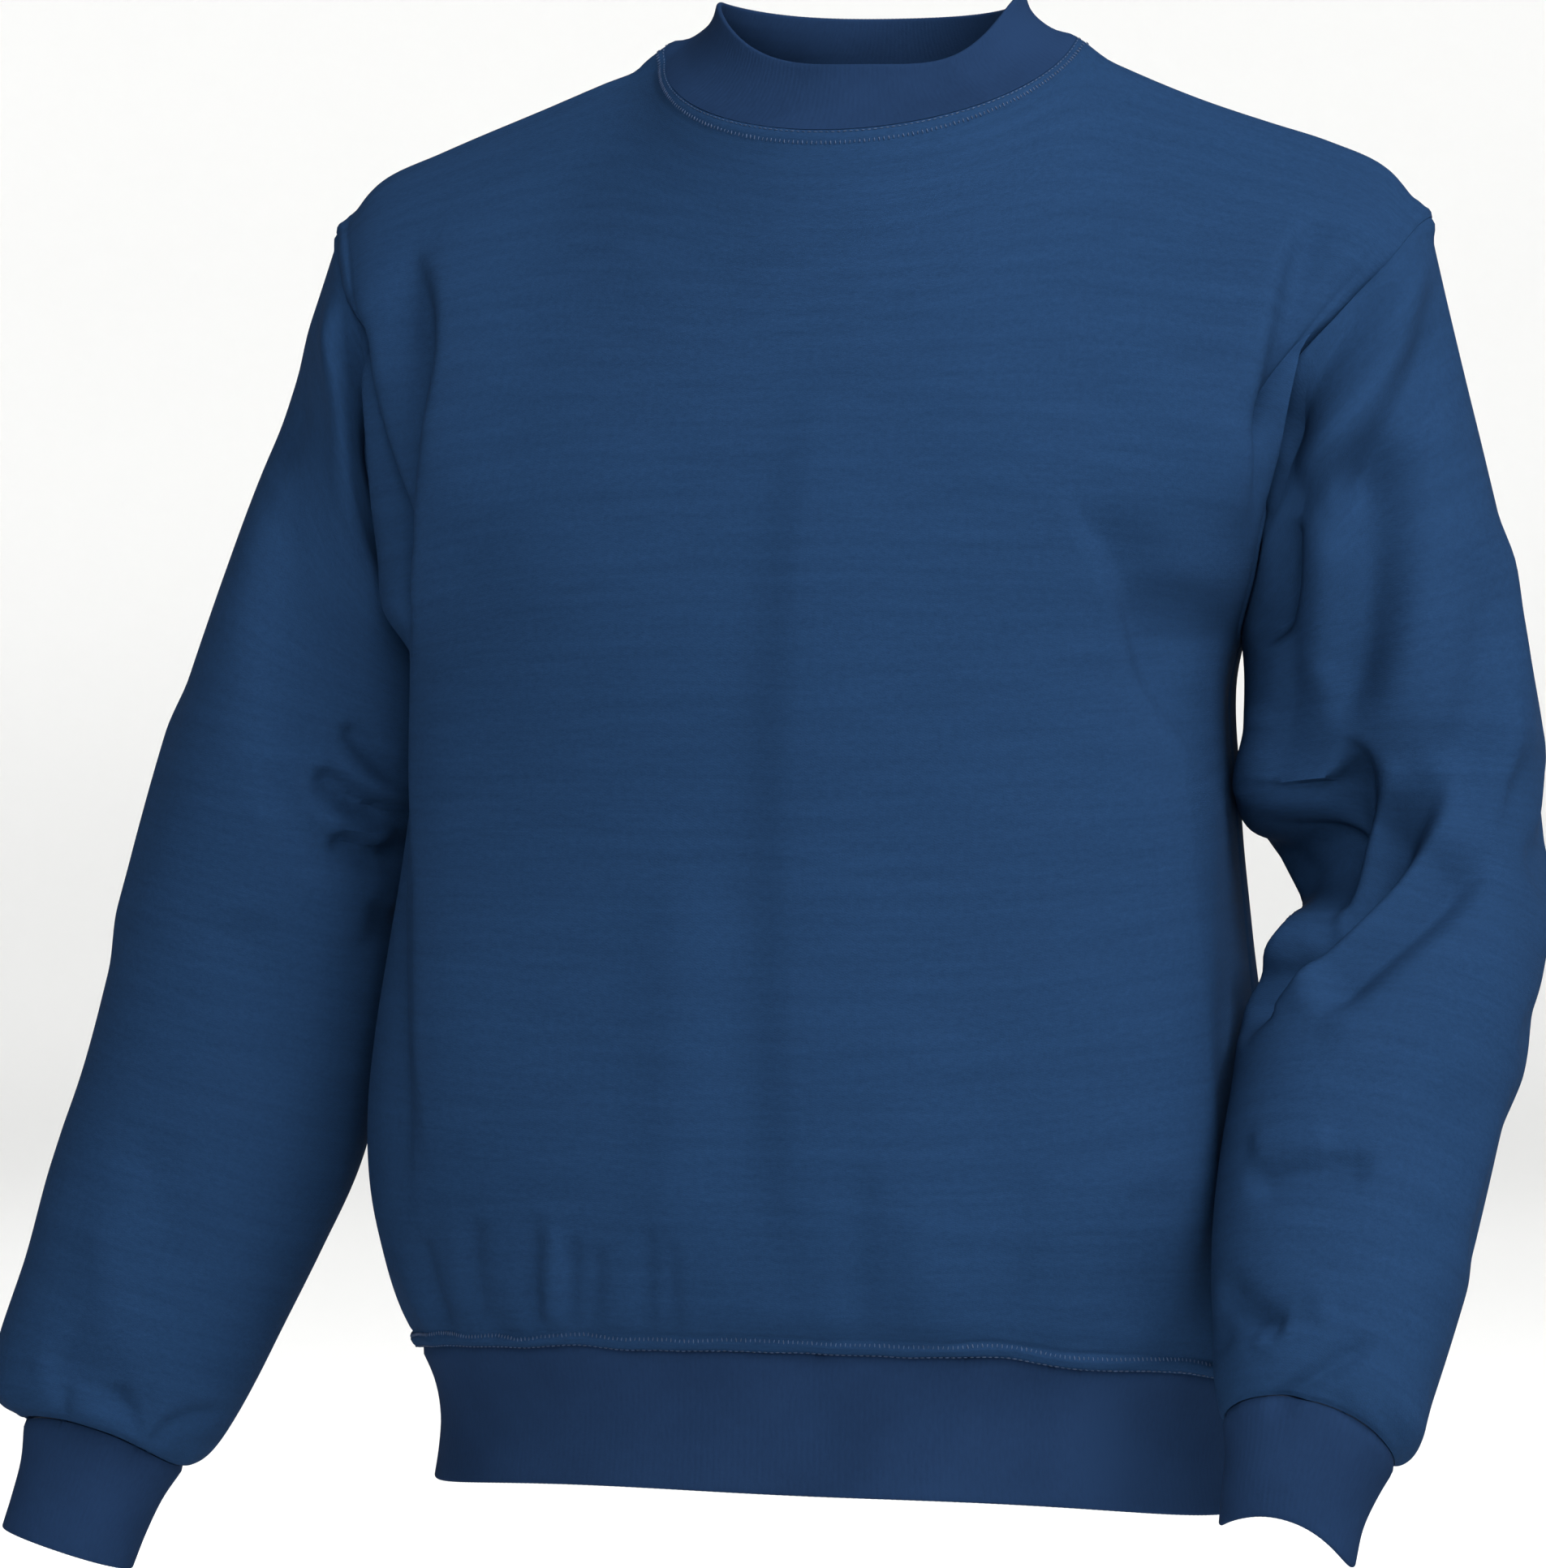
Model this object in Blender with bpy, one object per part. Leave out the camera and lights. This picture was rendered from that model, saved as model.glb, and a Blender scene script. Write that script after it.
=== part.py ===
"""Crewneck sweatshirt, filled out as if worn, with nobody in it.

Eight sewn pieces, each a closed thin-walled solid: front, back, two sleeves, two ribbed cuffs,
a ribbed collar and a ribbed waistband. Metres, +Z up, the front faces -Y and the wearer's left
is +X. The origin is midway between the two points where a shoulder seam meets the collar.

Every section table below is in millimetres. "out" is the distance from the middle plane x = 0
towards the side that the piece is on, "y" grows to the back and "z" grows upwards.
"""

import math

import bpy
import numpy as np

MM = 0.001

# Driving dimensions, in millimetres
CLOTH_THICK = 2.0          # brushed fleece jersey
RIB_THICK = 2.6            # 2x2 rib of collar, cuffs and waistband
SEAM_GAP = 0.3             # clearance between two sewn pieces
NECK_HALF = 99.0           # collar seam, half its width at the shoulders
NECK_FRONT_DEPTH = 89.0    # collar seam, from the shoulder seam forwards
NECK_FRONT_DROP = 47.0     # collar seam, below the shoulder seam in front
NECK_BACK_DEPTH = 76.0
NECK_BACK_DROP = 4.0
RIM_HALF = 74.0            # top edge of the collar
RIM_FRONT = 72.0
RIM_BACK = 72.0
RIM_SIDE_RISE = 20.0       # the top edge over the shoulder seam's end
RIM_FRONT_RISE = -15.0
RIM_BACK_RISE = 17.0
RIM_DIP = 5.0              # how fast the top edge falls from its two sides
SHOULDER_TIP = (265.0, 0.0, -87.0)
BAND_HEIGHT = 65.0         # waistband, from its seam to the hem

# Steps of the mesh along each stretch of a seam
NECK_STEPS = 7             # half of the front's, and of the back's, collar seam
SHOULDER_STEPS = 6
SIDE_STEPS = 11
ARMHOLE_STEPS = 11         # from the underarm to the shoulder tip, front or back
HALF_STEPS = NECK_STEPS + SHOULDER_STEPS
PANEL_STEPS = SIDE_STEPS + ARMHOLE_STEPS
SAMPLES = 96               # points on a curve before it is cut into even steps

# Side seam of the body from the waistband up to the underarm: (out, y, z)
SIDE_SEAM = {
    "right": [(220, 4, -628), (230, 2, -608), (237, 2, -571), (239, 4, -500),
              (221, 10, -430), (202, 14, -355), (199, 14, -298)],
    "left": [(197, 8, -628), (200, 8, -604), (197, 8, -568), (189, 10, -500),
             (181, 12, -430), (174, 12, -350), (172, 10, -305), (178, 8, -281)],
}

# Armhole seam from the underarm up to just below the shoulder tip: (out, y, z)
ARMHOLE = {
    ("right", "front"): [(216, -28, -265), (226, -50, -220), (236, -60, -160), (249, -48, -117)],
    ("left", "front"): [(190, -32, -250), (201, -58, -212), (219, -70, -163), (247, -50, -118)],
    ("right", "back"): [(210, 52, -268), (222, 72, -220), (234, 80, -160), (250, 52, -114)],
    ("left", "back"): [(194, 48, -250), (212, 72, -208), (230, 80, -158), (250, 52, -114)],
}

# Shoulder seam between the collar and the shoulder tip: (out, y, z)
SHOULDER = {
    "right": [(108, 1, -6), (134, 1, -16), (160, 2, -26), (215, 2, -47.5), (247, 1, -62)],
    "left": [(112, 1, -8), (130, 1, -16.5), (160, 2, -29), (190, 2, -39.5), (220, 2, -49.5),
             (246, 1, -62)],
}

# Rows across the front and the back, from the waistband up:
# (step of the mesh, centre x, y at the centre, z at the centre, squareness,
#  swell beyond the right side seam, swell beyond the left side seam)
FRONT_ROWS = [
    (0, -6, -136, -606, 2.4, 0, 0),
    (1, -12, -146, -588, 2.4, 0, 0),
    (2, -16, -150, -560, 2.5, 2, 0),
    (5, -20, -148, -485, 2.6, 6, 0),
    (8, -20, -143, -385, 2.8, 17, 0),
    (11, -16, -146, -285, 2.8, 19, 2),
    (13, -13, -143, -246, 2.7, 16, 1),
    (17, -4, -127, -160, 2.5, 8, 0),
]
BACK_ROWS = [
    (0, -6, 110, -606, 2.4, 0, 0),
    (1, -12, 122, -588, 2.4, 2, 2),
    (2, -16, 127, -560, 2.4, 3, 3),
    (5, -18, 121, -485, 2.4, 2, 3),
    (8, -16, 117, -385, 2.4, 0, 0),
    (11, -12, 124, -285, 2.4, 0, 0),
    (13, -9, 128, -246, 2.4, 0, 0),
    (17, -2, 130, -160, 2.4, 0, 0),
]

EDGE_RISE = 3              # how late a row climbs from its middle to its seam
EDGE_PULL = 4              # how close to a seam the cloth is drawn onto it

# Smoothing below the two ends of the collar
EASE_COLUMNS = 6
EASE_ROWS = 9
EASE_ROUNDS = 8

# Rise of the cloth towards the shoulder seam, per unit across it: beside the neck, at the tip
ROLL = {"front": (0.6, 0.1), "back": (0.0, 0.1)}
ROLL_COLUMNS = 5           # over these columns the roll begins beside the collar

# Rings down each sleeve below the armhole:
# (steps to the next ring, out, y, z, lean outwards and pitch forwards of the arm in degrees,
#  half width across, half depth, saddle: how far front and back rise over the sides)
SLEEVE_RINGS = {
    "right": [
        (3, 279, 2, -330, 14, 0, 66, 76, 0),
        (3, 303, 0, -418, 14, 1, 69, 68, 0),
        (3, 326, -2, -512, 15, 3, 73, 60, 0),
        (2, 347, -6, -568, 17, 5, 71, 56, 0),
        (2, 363, -10, -611, 17, 7, 66, 53, 0),
        (2, 380, -15, -653, 13, 9, 62, 51, 1),
        (1, 386.5, -18, -676, 13, 10, 51.5, 46, 3),
        (0, 384.5, -19, -681, 14, 11, 41.5, 37, 4),
    ],
    "left": [
        (3, 248, 15, -318, 6, 4, 69, 76, 0),
        (2, 250, 10, -366, 3, 12, 71, 70, 0),
        (2, 265, -8, -407, 0, 22, 58, 64, 0),
        (3, 257, -34, -442, -2, 30, 66, 61, 0),
        (3, 248, -68, -502, -4, 32, 63, 57, 0),
        (2, 241, -102, -562, -6, 32, 58, 53, 0),
        (2, 237.5, -126, -604, -9, 31, 51, 48, 2),
        (1, 236.5, -138, -626, -11, 29, 45.5, 42, 3.5),
        (0, 234, -142, -632, -12, 27, 40, 36, 4),
    ],
}
ARMHOLE_TO_FIRST_RING = 5
SLEEVE_SQUARE = 2.2

# Rings down each cuff below its seam, with the columns of the sleeve's rings
CUFF_RINGS = {
    "right": [
        (1, 391, -22, -701, 14, 11, 36.5, 34, 1),
        (1, 397, -25, -719, 15, 11, 34.5, 33, 0),
        (0, 402, -28, -735, 16, 11, 34, 31, 0),
    ],
    "left": [
        (1, 231, -146, -647, -13, 20, 35, 33, 4),
        (1, 228, -150, -660, -14, 14, 32.5, 31, 5),
        (0, 226.5, -152, -674, -15, 8, 31.5, 29, 6.5),
    ],
}
CUFF_SQUARE = 2.1

# Waistband below its seam:
# (fraction of its height, how much wider than its seam at the front and back, at the sides)
BAND_RINGS = [(0.25, 0.0, -7.0), (0.5, 0.0, -10.0), (0.8, 1.0, -9.0), (1.0, 2.0, -7.0)]
BAND_SIDE_LIFT = 3.0      # the hem is this much more level than the seam above it

# Collar above its seam: (fraction of its height, share of the seam's spread that is left)
COLLAR_RINGS = [(0.2, 0.62), (0.5, 0.26), (0.78, 0.07), (1.0, 0.0)]

MITRE_LIMIT = 0.5          # where two pieces meet at a sharp angle, the wall is no thicker
FOLD_FADE = 0.12           # share of its length over which a fold is still flat at each end

# Largest folds, drawn as seen from the front or the back:
# (piece, face, height over the cloth, half width, (x, z) of its points)
FOLDS = [
    ("front_panel", "front", -3.0, 16, [(-8, -215), (-13, -400), (-8, -580)]),
    ("front_panel", "front", 5.0, 26, [(118, -225), (146, -285), (160, -345)]),
    ("front_panel", "front", -5.0, 16, [(210, -95), (203, -150), (190, -215)]),
    ("back_panel", "back", -4.0, 22, [(60, -260), (20, -400), (30, -560)]),
    ("sleeve_left", "front", -7.0, 15, [(262, -350), (236, -382), (196, -402)]),
    ("sleeve_left", "front", 5.0, 16, [(296, -372), (258, -412), (212, -448)]),
    ("sleeve_right", "front", -4.0, 18, [(-292, -330), (-262, -392), (-226, -420)]),
]

# Finish of each kind of cloth: colour in linear light, roughness
FINISH = {
    "fleece": ((0.018, 0.053, 0.136), 0.92),
    "rib": ((0.016, 0.047, 0.124), 0.94),
}


def clear_scene():
    for item in list(bpy.data.objects):
        bpy.data.objects.remove(item, do_unlink=True)


def finish(name, kind):
    """A Principled material of its own for one piece."""
    colour, roughness = FINISH[kind]
    material = bpy.data.materials.new(name + "_" + kind)
    material.use_nodes = True
    shader = material.node_tree.nodes["Principled BSDF"]
    shader.inputs["Base Color"].default_value = (*colour, 1.0)
    shader.inputs["Roughness"].default_value = roughness
    shader.inputs["Metallic"].default_value = 0.0
    return material


def sided(points, side):
    """Points given as (out, y, z), placed on the wearer's right or left."""
    points = np.array(points, float)
    points[..., 0] *= -1.0 if side == "right" else 1.0
    return points


def through(keys, knots, at, start=None, end=None):
    """A smooth curve through the keys, read at the given places; tangents from a parabola."""
    keys = np.array(keys, float)
    knots = np.array(knots, float)
    step = np.diff(knots).reshape((-1,) + (1,) * (keys.ndim - 1))
    slope = np.diff(keys, axis=0) / step
    tangent = np.empty_like(keys)
    tangent[1:-1] = (slope[:-1] * step[1:] + slope[1:] * step[:-1]) / (step[1:] + step[:-1])
    tangent[0] = slope[0] if start is None else start
    tangent[-1] = slope[-1] if end is None else end
    rows = []
    for place in at:
        k = min(max(int(np.searchsorted(knots, place, side="right")) - 1, 0), len(knots) - 2)
        h = knots[k + 1] - knots[k]
        t = (place - knots[k]) / h
        rows.append((2 * t**3 - 3 * t**2 + 1) * keys[k] + (t**3 - 2 * t**2 + t) * h * tangent[k]
                    + (3 * t**2 - 2 * t**3) * keys[k + 1] + (t**3 - t**2) * h * tangent[k + 1])
    return np.array(rows)


def arc_knots(points):
    gaps = np.linalg.norm(np.diff(points, axis=0), axis=-1)
    return np.concatenate([[0.0], np.cumsum(gaps)])


def evenly(points, steps):
    """The same curve with its points at even distances along it."""
    points = np.array(points, float)
    knots = arc_knots(points)
    places = np.linspace(0.0, knots[-1], steps + 1)
    return np.stack([np.interp(places, knots, points[:, k]) for k in range(3)], axis=1)


def smooth_curve(points, steps):
    """A smooth curve through a few points, cut into even steps."""
    points = np.array(points, float)
    knots = arc_knots(points)
    fine = through(points, knots, np.linspace(0.0, knots[-1], 2 * SAMPLES))
    return evenly(fine, steps)


def bend(t, power):
    return np.sign(t) * np.abs(t) ** power


def neck_curve(face):
    """Collar seam from the wearer's right shoulder seam to the left one, in a tilted plane."""
    depth = -NECK_FRONT_DEPTH if face == "front" else NECK_BACK_DEPTH
    drop = -NECK_FRONT_DROP if face == "front" else -NECK_BACK_DROP
    angle = np.radians(np.linspace(-90.0, 90.0, SAMPLES + 1))
    curve = np.stack([NECK_HALF * np.sin(angle), depth * np.cos(angle),
                      drop * np.cos(angle)], axis=1)
    return evenly(curve, 2 * NECK_STEPS)


def shoulder_curve(side):
    """Shoulder seam from the tip to the collar."""
    points = [SHOULDER_TIP] + SHOULDER[side][::-1] + [(NECK_HALF, 0.0, 0.0)]
    return smooth_curve(sided(points, side), SHOULDER_STEPS)


def armhole_curve(side, face):
    """Front or back half of the armhole, from the underarm up, cut out of its smooth loop."""
    other = "back" if face == "front" else "front"
    half = [SIDE_SEAM[side][-1]] + ARMHOLE[side, face] + [SHOULDER_TIP]
    loop = [ARMHOLE[side, other][0]] + half + [ARMHOLE[side, other][-1]]
    points = sided(loop, side)
    knots = arc_knots(points)
    fine = through(points, knots, np.linspace(knots[1], knots[-2], 2 * SAMPLES))
    return evenly(fine, ARMHOLE_STEPS)


def edge_curve(side, face):
    """One edge of a body panel: its side seam, then its armhole."""
    seam = smooth_curve(sided(SIDE_SEAM[side], side), SIDE_STEPS)
    return np.concatenate([seam, armhole_curve(side, face)[1:]])


def half_row(middle, edge, square, swell, side):
    """From the middle of a panel round to its edge: a quarter of a superellipse."""
    angle = np.radians(np.linspace(0.0, 90.0, SAMPLES + 1))
    across = bend(np.sin(angle), 2.0 / square)
    deep = 1.0 - bend(np.cos(angle), 2.0 / square)
    out = -1.0 if side == "right" else 1.0
    curve = np.stack([middle[0] + (edge[0] - middle[0]) * across,
                      middle[1] + (edge[1] - middle[1]) * deep,
                      middle[2] + (edge[2] - middle[2]) * across**EDGE_RISE], axis=1)
    curve[:, 0] += out * swell * np.sin(math.pi * deep) * across
    return evenly(curve, HALF_STEPS)


def ease_beside_collar(grid, column):
    """Even out the points below the two ends of the collar, where the edge turns a corner."""
    near_end = np.clip(1.0 - np.abs(column - NECK_STEPS) / EASE_COLUMNS, 0.0, 1.0)
    row = np.arange(PANEL_STEPS + 1)
    near_top = np.clip((row - PANEL_STEPS + EASE_ROWS) / (0.5 * EASE_ROWS), 0.0, 1.0)
    share = (near_top[:, None] * near_end[None, :])[1:-1, 1:-1, None]
    for _ in range(EASE_ROUNDS):
        around = (grid[:-2, 1:-1] + grid[2:, 1:-1] + grid[1:-1, :-2] + grid[1:-1, 2:]) / 4.0
        grid[1:-1, 1:-1] += share * (around - grid[1:-1, 1:-1])
    return grid


def body_panel(face):
    """Points of the front or the back: rows from the waistband up, wearer's right to left."""
    rows = FRONT_ROWS if face == "front" else BACK_ROWS
    right = edge_curve("right", face)
    left = edge_curve("left", face)
    keys = []
    for step, x, y, z, square, swell_right, swell_left in rows:
        half_right = half_row((x, y, z), right[step], square, swell_right, "right")
        half_left = half_row((x, y, z), left[step], square, swell_left, "left")
        keys.append(np.concatenate([half_right[::-1], half_left[1:]]))
    top = np.concatenate([shoulder_curve("right"), neck_curve(face)[1:-1],
                          shoulder_curve("left")[::-1]])
    keys.append(top)
    knots = [row[0] for row in rows] + [PANEL_STEPS]
    # the cloth rolls over the shoulder, and runs on straight into the collar
    last = PANEL_STEPS - rows[-1][0]
    straight = (top - keys[-2]) / last
    column = np.abs(np.arange(2 * HALF_STEPS + 1) - HALF_STEPS)
    on_shoulder = np.clip((column - NECK_STEPS) / SHOULDER_STEPS, 0.0, 1.0)
    beside_neck, at_tip = ROLL[face]
    over = np.zeros_like(top)
    over[:, 1] = 1.0 if face == "front" else -1.0
    over[:, 2] = beside_neck + (at_tip - beside_neck) * on_shoulder
    over *= (np.linalg.norm(straight, axis=1) / np.linalg.norm(over, axis=1))[:, None]
    share = np.clip(1.0 + (column - NECK_STEPS - 1) / ROLL_COLUMNS, 0.0, 1.0)[:, None]
    grid = through(keys, knots, range(PANEL_STEPS + 1), end=straight * (1 - share) + over * share)
    # the sewn edges are followed exactly
    share = (column / HALF_STEPS) ** EDGE_PULL
    off_right = (right - grid[:, 0])[:, None]
    off_left = (left - grid[:, -1])[:, None]
    is_right = np.arange(2 * HALF_STEPS + 1) < HALF_STEPS
    grid += share[None, :, None] * np.where(is_right[None, :, None], off_right, off_left)
    grid[-1] = top
    return ease_beside_collar(grid, column)


def ring(side, square, row, count):
    """One ring of a sleeve or cuff, from the inner side round the front to the outer side."""
    _, out, y, z, lean, pitch, wide, deep, saddle = row
    axis = np.array([math.tan(math.radians(lean)), -math.tan(math.radians(pitch)), -1.0])
    axis /= np.linalg.norm(axis)
    across = np.array([math.cos(math.radians(lean)), 0.0, math.sin(math.radians(lean))])
    across -= axis * (across @ axis)
    across /= np.linalg.norm(across)
    ahead = np.cross(across, axis)
    ahead *= -np.sign(ahead[1])
    angle = np.radians(np.linspace(0.0, 360.0, 2 * SAMPLES + 1))
    inner = bend(np.cos(angle), 2.0 / square)
    front = bend(np.sin(angle), 2.0 / square)
    curve = (np.array([out, y, z], float) - across * wide * inner[:, None]
             + ahead * deep * front[:, None] + axis * saddle * np.cos(2 * angle)[:, None])
    return sided(evenly(curve, count)[:-1], side)


def sleeve(side):
    """Points of a sleeve: rings from the armhole down to the cuff's seam."""
    front = armhole_curve(side, "front")
    back = armhole_curve(side, "back")
    count = 2 * ARMHOLE_STEPS
    keys = [np.concatenate([front, back[::-1][1:-1]])]
    knots = [0, ARMHOLE_TO_FIRST_RING]
    for row in SLEEVE_RINGS[side]:
        keys.append(ring(side, SLEEVE_SQUARE, row, count))
        knots.append(knots[-1] + row[0])
    return through(keys, knots[:-1], range(knots[-1] + 1))


def cuff(side):
    count = 2 * ARMHOLE_STEPS
    keys = [ring(side, SLEEVE_SQUARE, SLEEVE_RINGS[side][-1], count)]
    keys += [ring(side, CUFF_SQUARE, row, count) for row in CUFF_RINGS[side]]
    return np.array(keys)


def loop_of(front, back):
    """Front and back curves from right to left, joined as one loop."""
    return np.concatenate([front, back[::-1][1:-1]])


def waistband(front_grid, back_grid):
    seam = loop_of(front_grid[0], back_grid[0])
    middle = seam.mean(axis=0)
    spread = seam[:, :2] - middle[:2]
    outward = spread / np.linalg.norm(spread, axis=1, keepdims=True)
    sag = (seam[:, 2] - seam[:, 2].max()) / (seam[:, 2].max() - seam[:, 2].min())
    rows = [seam]
    for share, deeper, wider in BAND_RINGS:
        row = seam.copy()
        row[:, :2] += outward * (deeper + (wider - deeper) * outward[:, :1]**2)
        row[:, 2] += -BAND_HEIGHT * share - sag * BAND_SIDE_LIFT * share
        rows.append(row)
    return np.array(rows)


def collar():
    seam = loop_of(neck_curve("front"), neck_curve("back"))
    angle = np.arctan2(seam[:, 0] / NECK_HALF,
                       np.where(seam[:, 1] < 0, -seam[:, 1] / NECK_FRONT_DEPTH,
                                -seam[:, 1] / NECK_BACK_DEPTH))
    facing = np.cos(angle)
    rim_y = np.where(facing > 0, RIM_FRONT, RIM_BACK)
    end_rise = np.where(facing > 0, RIM_FRONT_RISE, RIM_BACK_RISE)
    dip = np.abs(np.sin(angle)) ** RIM_DIP
    rim = np.stack([RIM_HALF * np.sin(angle), -rim_y * facing,
                    end_rise + (RIM_SIDE_RISE - end_rise) * dip], axis=1)
    rows = [seam]
    for height, spread in COLLAR_RINGS:
        row = rim + (seam - rim) * spread
        row[:, 2] = seam[:, 2] + (rim[:, 2] - seam[:, 2]) * height
        rows.append(row)
    return np.array(rows)


def near_line(points, line):
    """Distance of each point from a broken line, and how far along it, both in one plane."""
    line = np.array(line, float)
    best = np.full(points.shape[:-1], 1e9)
    along = np.zeros(points.shape[:-1])
    knots = arc_knots(line)
    for k in range(len(line) - 1):
        run = line[k + 1] - line[k]
        t = np.clip(((points - line[k]) @ run) / (run @ run), 0.0, 1.0)
        gap = np.linalg.norm(points - (line[k] + t[..., None] * run), axis=-1)
        closer = gap < best
        best = np.where(closer, gap, best)
        along = np.where(closer, (knots[k] + t * (knots[k + 1] - knots[k])) / knots[-1], along)
    return best, along


def fold(name, grid, normals):
    """Raise the ridges and sink the troughs of one piece along its normals."""
    for piece, face, height, half_width, line in FOLDS:
        if piece != name:
            continue
        gap, along = near_line(grid[..., [0, 2]], line)
        toward = -normals[..., 1] if face == "front" else normals[..., 1]
        fade = np.sin(math.pi * (FOLD_FADE + (1.0 - 2.0 * FOLD_FADE) * along)) ** 0.5
        shape = height * fade * np.exp(-((gap / half_width) ** 2))
        grid = grid + normals * (shape * np.clip(2.0 * toward, 0.0, 1.0))[..., None]
    return grid


def grid_normals(grid, closed):
    """Outward unit normals of a grid of points whose columns may close on themselves."""
    if closed:
        along = np.roll(grid, -1, axis=1) - np.roll(grid, 1, axis=1)
    else:
        along = np.gradient(grid, axis=1)
    up = np.gradient(grid, axis=0)
    normals = np.cross(along, up)
    normals /= np.linalg.norm(normals, axis=-1, keepdims=True)
    middle = grid.mean(axis=1, keepdims=True)
    if not closed:
        middle = middle * np.array([1.0, 0.0, 1.0])
    if ((grid - middle) * normals).sum() < 0.0:
        normals = -normals
    return normals


def spot(point):
    return tuple(int(round(value * 100.0)) for value in point)


def edge_cells(grid, closed):
    """Row and column of every point on a sewn or free edge."""
    rows, columns = grid.shape[:2]
    cells = [(row, column) for row in (0, rows - 1) for column in range(columns)]
    if not closed:
        cells += [(row, column) for column in (0, columns - 1) for row in range(1, rows - 1)]
    return cells


def share_edge_normals(pieces):
    """Give sewn pieces one common direction at each point of their seam."""
    common = {}
    for piece in pieces.values():
        for cell in edge_cells(piece["grid"], piece["closed"]):
            key = spot(piece["grid"][cell])
            common[key] = common.get(key, 0.0) + piece["normals"][cell]
    for piece in pieces.values():
        for cell in edge_cells(piece["grid"], piece["closed"]):
            total = common[spot(piece["grid"][cell])]
            piece["normals"][cell] = total / np.linalg.norm(total)


def draw_back(grid, closed):
    """Draw every edge back by half the seam gap, within the cloth."""
    moved = grid.copy()
    half = 0.5 * SEAM_GAP

    def step(cell, inner, tangent):
        inward = grid[inner] - grid[cell]
        tangent = tangent / np.linalg.norm(tangent)
        inward = inward - tangent * (inward @ tangent)
        moved[cell] += half * inward / np.linalg.norm(inward)

    rows, columns = grid.shape[:2]
    for row, inner_row in ((0, 1), (rows - 1, rows - 2)):
        for column in range(columns):
            before = (column - 1) % columns if closed else max(column - 1, 0)
            after = (column + 1) % columns if closed else min(column + 1, columns - 1)
            step((row, column), (inner_row, column), grid[row, after] - grid[row, before])
    if not closed:
        for column, inner_column in ((0, 1), (columns - 1, columns - 2)):
            for row in range(rows):
                before, after = max(row - 1, 0), min(row + 1, rows - 1)
                step((row, column), (row, inner_column), grid[after, column] - grid[before, column])
    return moved


def wall(name, piece, kind, thick):
    """A closed thin wall: the outer grid, the same grid moved in, and the rims between."""
    closed = piece["closed"]
    outer = draw_back(piece["grid"], closed)
    facing = (piece["normals"] * piece["own"]).sum(axis=-1, keepdims=True)
    inner = outer - piece["normals"] * thick / np.maximum(facing, MITRE_LIMIT)
    rows, columns = outer.shape[:2]
    points = np.concatenate([outer.reshape(-1, 3), inner.reshape(-1, 3)]) * MM
    skin = rows * columns
    faces = []

    def at(row, column):
        return row * columns + column % columns

    def quad(a, b, c, d):
        faces.append((a, b, c))
        faces.append((a, c, d))

    def both_skins(a, b, c, d):
        """One cell of the outer skin and of the inner skin, split along its shorter diagonal."""
        if np.linalg.norm(points[a] - points[c]) > np.linalg.norm(points[b] - points[d]):
            a, b, c, d = b, c, d, a
        quad(a, b, c, d)
        faces.append((skin + a, skin + c, skin + b))
        faces.append((skin + a, skin + d, skin + c))

    last = columns if closed else columns - 1
    for row in range(rows - 1):
        for column in range(last):
            a, b = at(row, column), at(row, column + 1)
            c, d = at(row + 1, column + 1), at(row + 1, column)
            both_skins(a, b, c, d)
    rims = [[at(0, column) for column in range(last + 1)],
            [at(rows - 1, column) for column in range(last, -1, -1)]]
    if not closed:
        rims += [[at(row, columns - 1) for row in range(rows)],
                 [at(row, 0) for row in range(rows - 1, -1, -1)]]
    for rim in rims:
        for a, b in zip(rim[:-1], rim[1:]):
            quad(b, a, skin + a, skin + b)
    mesh = bpy.data.meshes.new(name)
    mesh.from_pydata([tuple(point) for point in points], [], faces)
    if volume(points, faces) < 0.0:
        mesh.flip_normals()
    mesh.shade_smooth()
    mesh.materials.append(finish(name, kind))
    item = bpy.data.objects.new(name, mesh)
    bpy.context.scene.collection.objects.link(item)


def volume(points, faces):
    corners = points[np.array(faces)]
    return np.einsum("ij,ij->i", corners[:, 0], np.cross(corners[:, 1], corners[:, 2])).sum() / 6.0


def main():
    clear_scene()
    front = body_panel("front")
    back = body_panel("back")
    grids = {
        "front_panel": (front, False, "fleece"),
        "back_panel": (back, False, "fleece"),
        "sleeve_right": (sleeve("right"), True, "fleece"),
        "sleeve_left": (sleeve("left"), True, "fleece"),
        "cuff_right": (cuff("right"), True, "rib"),
        "cuff_left": (cuff("left"), True, "rib"),
        "neck_rib": (collar(), True, "rib"),
        "waistband_rib": (waistband(front, back), True, "rib"),
    }
    pieces = {}
    for name, (grid, closed, kind) in grids.items():
        folded = fold(name, grid, grid_normals(grid, closed))
        for cell in edge_cells(grid, closed):
            folded[cell] = grid[cell]
        own = grid_normals(folded, closed)
        pieces[name] = {"grid": folded, "closed": closed, "kind": kind,
                        "own": own, "normals": own.copy()}
    share_edge_normals(pieces)
    for name, piece in pieces.items():
        thick = RIB_THICK if piece["kind"] == "rib" else CLOTH_THICK
        wall(name, piece, piece["kind"], thick)


main()
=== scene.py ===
"""Looks of a crewneck sweatshirt, filled out as worn: brushed fleece, fine ribs, seams, stitches.

The cloth is worked out again from the garment's own sections, finer than in its solids, and then
folded, gathered and sewn. Sizes are in millimetres until a mesh is made. +X is the wearer's left,
the front faces -Y and +Z is up; "out" is the distance from the middle plane towards the side that
a piece is on.
"""

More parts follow.
